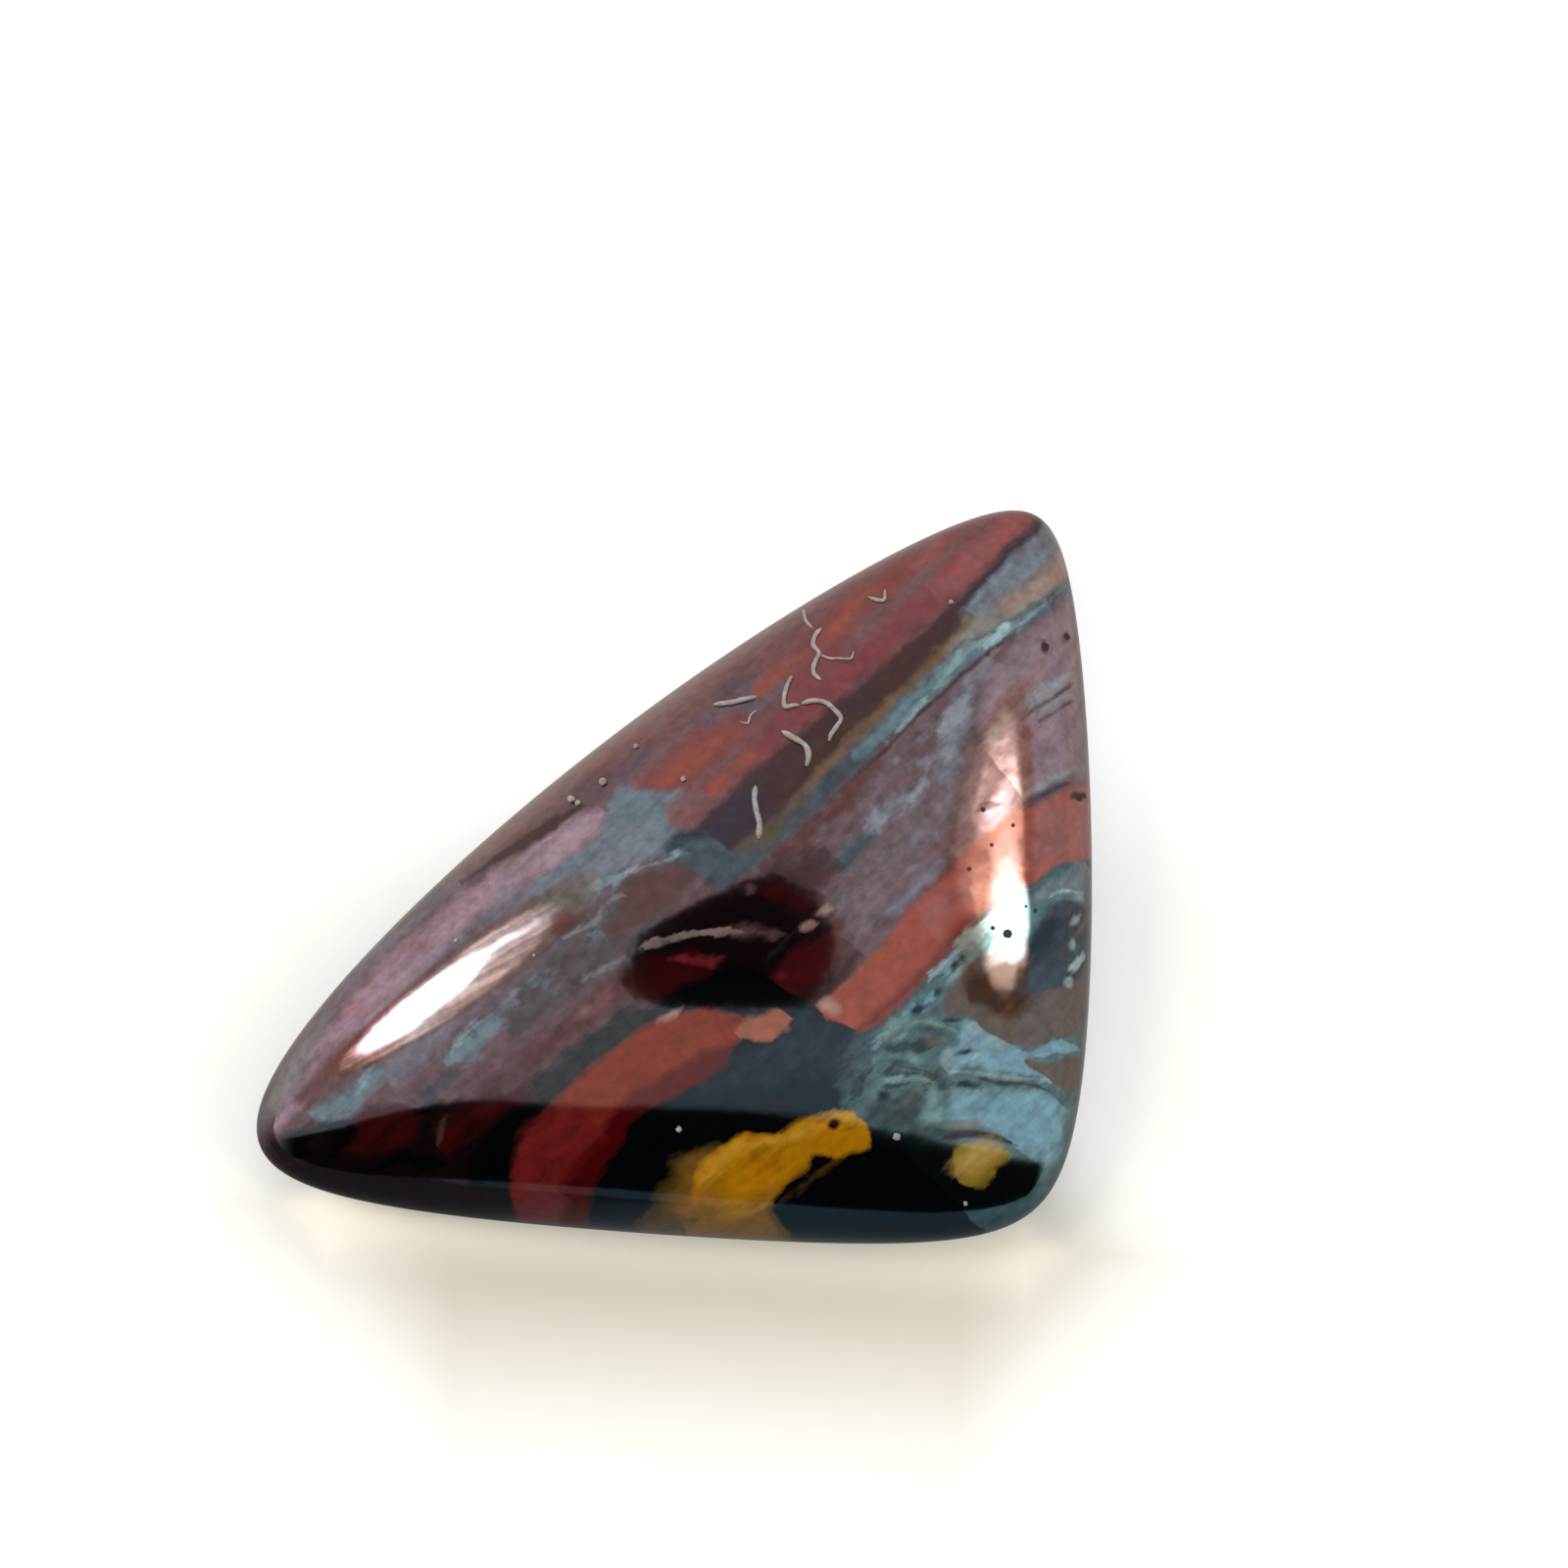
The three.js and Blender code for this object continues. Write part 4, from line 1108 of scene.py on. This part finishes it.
def floor_material():
    """A pale, faintly grained table top. What polish mirrors of it is dimmer, as if it were small,
    a painted shade that is darkest in front of the stone. The camera sees it lifted to near white
    by painted light that it gives off, but for a painted shade in front of the stone."""
    material, nodes, surface = new_material("pale_table")
    coords = nodes.make("ShaderNodeTexCoord").outputs["Object"]
    grain = nodes.noise(coords, 900.0, 3.0)
    pale = nodes.mix(grain, (0.61, 0.6, 0.51, 1), (0.66, 0.64, 0.55, 1))
    x, y, _ = nodes.separate(coords)
    # Painted shade for what polish mirrors: in front of the stone the table is dark, bluish at its
    # right.
    to_right = nodes.math("MAXIMUM", nodes.math("SUBTRACT", x, 0.009), 0.0)
    behind = nodes.step(nodes.math("MULTIPLY_ADD", to_right, 0.8, y), -0.0115, -0.004)
    near = nodes.mix(nodes.step(x, -0.008, 0.0), (0.09, 0.09, 0.09, 1), (0.24, 0.29, 0.32, 1))
    mirrored_painted_shade = nodes.mix(behind, near, (0.6, 0.58, 0.57, 1))
    rays = nodes.make("ShaderNodeLightPath")

    # Painted light that only the camera sees: it starts from nothing along the stone's front edge,
    # leaving a painted shade there, and is whole some 8 mm away from it. Along the edge itself runs a
    # thin, warm painted bright line.
    to_left = nodes.math("MAXIMUM", nodes.math("SUBTRACT", -0.007, x), 0.0)
    ahead = nodes.math("ABSOLUTE", nodes.math("MULTIPLY_ADD", x, 0.06, nodes.math("ADD", y, 0.0112)))
    away = nodes.math("MULTIPLY_ADD", to_left, 0.9, nodes.math("ADD", ahead, to_right))
    far = nodes.math("MULTIPLY", nodes.step(away, 0.0005, 0.0085),
                     nodes.step(y, -0.002, 0.006, 0.5, 0.7))
    beyond = nodes.math("MAXIMUM", nodes.math("SUBTRACT", nodes.math("ABSOLUTE", x), 0.011), 0.0)
    past_line = nodes.step(nodes.math("ADD", ahead, beyond), 0.0, 0.0022)
    painted_glow = nodes.math("MULTIPLY_ADD", nodes.math("SUBTRACT", 1.0, past_line), 0.27, far)
    nodes.feed(surface, nodes.shader({
        "Base Color": nodes.mix(rays.outputs["Is Glossy Ray"], pale, mirrored_painted_shade),
        "Roughness": 0.7,
        "Emission Color": nodes.mix(past_line, (1.0, 0.94, 0.8, 1), (0.84, 0.88, 0.98, 1)),
        "Emission Strength": nodes.math("MULTIPLY", rays.outputs["Is Camera Ray"], painted_glow),
    }))
    material.cycles.emission_sampling = "NONE"  # only the camera sees what it gives off
    return material


def make_floor():
    mesh = bpy.data.meshes.new("table_top")
    half = FLOOR_WIDTH / 2 * MM
    mesh.from_pydata([(-half, -half, 0), (half, -half, 0), (half, half, 0), (-half, half, 0)], [],
                     [(0, 1, 2, 3)])
    floor = put_in_scene("table_top", mesh)
    floor.location.z = -FLOOR_GAP * MM
    mesh.materials.append(floor_material())


# The corners of the dark card over the stone, clockwise, in the chart that make_light draws on, and
# how far from straight up it reaches.
CARD = [(-11.6, 5.8), (-9.5, 7.3), (-4.0, 9.1), (0.5, 9.3), (4.2, 7.6), (10.3, 0.8), (13.6, -4.6),
        (14.6, -10.0), (13.9, -15.0), (11.2, -19.3), (4.8, -19.2), (-3.5, -15.9), (-6.8, -12.0),
        (-9.6, -7.0), (-11.5, 0.5)]
CARD_REACH = 24.0
CARD_LIGHT = (0.01, 0.01, 0.01, 1.0)

# The rest of the tent: the pale sky, the dark front with the haze low in it on the left and on the
# right, and the plain backdrop that the camera sees past the table.
SKY = (VEIL, 0.985 * VEIL, 0.96 * VEIL, 1.0)
FRONT = (0.012, 0.012, 0.012, 1.0)
HAZE_LEFT = (0.1, 0.1, 0.11, 1.0)
HAZE_RIGHT = (0.28, 0.34, 0.37, 1.0)
BACKDROP = (0.92, 0.91, 0.88, 1.0)

# The two lamps, each as its ovals on the chart from the outermost in: the centre, the half width,
# the half height, how soft the edge is, the turn in degrees, and the light in its dull patches and
# in its bright ones.
RING = [(0.62, 0.43, 0.32)] * 2
BRIGHT = [(5.5, 5.1, 4.4)] * 2
RIGHT_LAMP = [
    ((46.5, 4.5), 16.5, 22.0, 2.5, 0, RING),
    ((44.2, 6.5), 11.6, 16.0, 2.0, 10, [(1.3, 1.03, 0.84)] * 2),
    ((46.6, 4.0), 10.0, 15.4, 1.5, 17, [(1.5, 1.2, 0.9), (4.2, 3.7, 2.9)]),
    ((45.3, 9.8), 6.5, 1.9, 0.9, 22, [(9.0, 8.4, 7.2)] * 2),
    ((48.5, 4.5), 5.0, 3.6, 2.0, 0, BRIGHT),
    ((47.5, -9.6), 5.8, 3.2, 1.0, 12, [(9.0, 8.0, 7.4)] * 2),
    ((51.0, -3.4), 8.0, 6.0, 1.6, -8, [(13.0, 12.6, 12.0)] * 2),
]
LEFT_LAMP = [
    ((-44.5, 19.3), 19.5, 20.3, 1.5, 0, RING),
    ((-44.6, 17.8), 15.2, 16.8, 1.5, 0, [(1.1, 0.75, 0.56), (3.0, 2.4, 1.8)]),
    ((-38.0, 26.5), 5.0, 1.8, 1.2, -10, BRIGHT),
    ((-46.0, 8.0), 5.0, 1.6, 1.2, 0, BRIGHT),
    ((-47.6, 18.6), 9.2, 10.1, 2.2, 0, [(16.0, 15.5, 14.6)] * 2),
]


def from_centre(nodes, chart, oval):
    """How far from the middle of an oval of the chart: half its height on its edge."""
    centre, half_width, half_height, _, turn, _ = oval
    away = nodes.vector("SUBTRACT", chart, (*centre, 0.0))
    if turn:
        away = nodes.turned(away, -turn)
    away = nodes.vector("MULTIPLY", away, (half_height / half_width, 1.0, 0.0))
    return nodes.vector("LENGTH", away)


def lamp_light(nodes, chart, lamp, light):
    """The light with a lamp's ovals over it."""
    combed = nodes.vector("MULTIPLY", chart, (0.07, 0.5, 1.0))
    patchy = nodes.step(nodes.noise(combed, 1.0, 3.0), 0.42, 0.6)
    for oval in lamp:
        _, _, half_height, soft, _, (dull, bright) = oval
        share = nodes.step(from_centre(nodes, chart, oval), half_height - soft, half_height + soft,
                           1.0, 0.0)
        colour = (*dull, 1.0)
        if dull != bright:
            colour = nodes.mix(patchy, colour, (*bright, 1.0))
        light = nodes.mix(share, light, colour)
    return light


def card_light(nodes, chart, light):
    """The light with the dark card over it."""
    past = -90.0
    for i, corner in enumerate(CARD):
        after = CARD[(i + 1) % len(CARD)]
        outwards = Vector((corner[1] - after[1], after[0] - corner[0], 0.0)).normalized()
        from_side = nodes.math("SUBTRACT", nodes.vector("DOT_PRODUCT", chart, outwards),
                               outwards.dot(Vector((*corner, 0.0))))
        past = nodes.math("MAXIMUM", from_side, past)
    return nodes.mix(nodes.step(past, -0.5, 0.5, 1.0, 0.0), light, CARD_LIGHT)


def make_light():
    """A soft tent of light, given by the direction it comes from: degrees from straight up,
    towards +X and towards +Y. Dark in front over a faint low haze, with a dark card overhead and
    a round lamp on either side."""
    world = bpy.data.worlds.new("soft_tent")
    bpy.context.scene.world = world
    world.use_nodes = True
    nodes = Nodes(world.node_tree)
    output = nodes.make("ShaderNodeOutputWorld")
    toward = nodes.make("ShaderNodeTexCoord").outputs["Generated"]
    x, y, z = nodes.separate(toward)
    from_top = nodes.math("MULTIPLY", nodes.math("ARCCOSINE", z), 180 / math.pi)
    flat = nodes.vector("LENGTH", nodes.combine(x, y, 0.0))
    spread = nodes.math("DIVIDE", from_top, nodes.math("MAXIMUM", flat, 1e-4))
    to_right = nodes.math("MULTIPLY", x, spread)
    to_back = nodes.math("MULTIPLY", y, spread)
    chart = nodes.combine(to_right, to_back, 0.0)

    # The front is dark below an edge that drops on the right, and ends far out on both sides.
    edge = nodes.math("ADD", nodes.step(to_right, -42, -36, -36.2, -34.2),
                      nodes.step(to_right, -24, -5, 0.0, -9.3))
    front = nodes.step(nodes.math("SUBTRACT", to_back, edge), -1.2, 1.2, 1.0, 0.0)
    front = nodes.math("MULTIPLY", front, nodes.step(to_right, -85, -62))
    front = nodes.math("MULTIPLY", front, nodes.step(to_right, 66, 84, 1.0, 0.0))

    # The haze lies low in it, up to an edge that rises to the right.
    low_edge = nodes.math("MULTIPLY_ADD", nodes.math("MAXIMUM", to_right, 0.0), 0.27, -83.0)
    low = nodes.step(nodes.math("SUBTRACT", to_back, low_edge), -0.8, 0.8, 1.0, 0.0)
    haze = nodes.mix(nodes.step(to_right, -25, -8), HAZE_LEFT, HAZE_RIGHT)
    light = nodes.mix(front, SKY, nodes.mix(low, FRONT, haze))

    def background(colour):
        node = nodes.make("ShaderNodeBackground")
        nodes.feed(node.inputs["Color"], colour)
        return node.outputs[0]

    # The card and the lamps are worked out only near their own places, which saves much time.
    tent = background(light)
    overhead = nodes.math("LESS_THAN", from_top, CARD_REACH)
    tent = nodes.either(overhead, background(card_light(nodes, chart, light)), tent)
    for lamp in (LEFT_LAMP, RIGHT_LAMP):
        outermost = lamp[0]
        _, _, half_height, soft, _, _ = outermost
        inside = nodes.math("LESS_THAN", from_centre(nodes, chart, outermost), half_height + soft)
        tent = nodes.either(inside, background(lamp_light(nodes, chart, lamp, light)), tent)
    rays = nodes.make("ShaderNodeLightPath")
    tent = nodes.either(rays.outputs["Is Camera Ray"], background(BACKDROP), tent)
    nodes.feed(output.inputs["Surface"], tent)


def make_camera():
    camera = bpy.data.cameras.new("camera")
    camera.sensor_width = 36.0
    camera.lens = camera.sensor_width / 2 / (FRAME_WIDTH / 2 / CAMERA_DISTANCE)
    holder = put_in_scene("camera", camera)
    back = Vector((0, -math.cos(CAMERA_ELEVATION), math.sin(CAMERA_ELEVATION)))
    holder.location = to_frame(*CAMERA_AIM) + back * CAMERA_DISTANCE * MM
    holder.rotation_mode = "QUATERNION"
    holder.rotation_quaternion = back.to_track_quat("Z", "Y")
    camera.clip_start = 0.001
    bpy.context.scene.camera = holder


make_camera()
make_light()
make_floor()
bpy.context.scene.view_settings.view_transform = "Standard"

stone = make_stone()
stone.data.materials.append(stone_material())
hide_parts("polished_stone")
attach(stone, "root")

fluff = lint_material()
for piece in (make_lint(), make_dust()):
    piece.data.materials.append(fluff)
    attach(piece, "root")
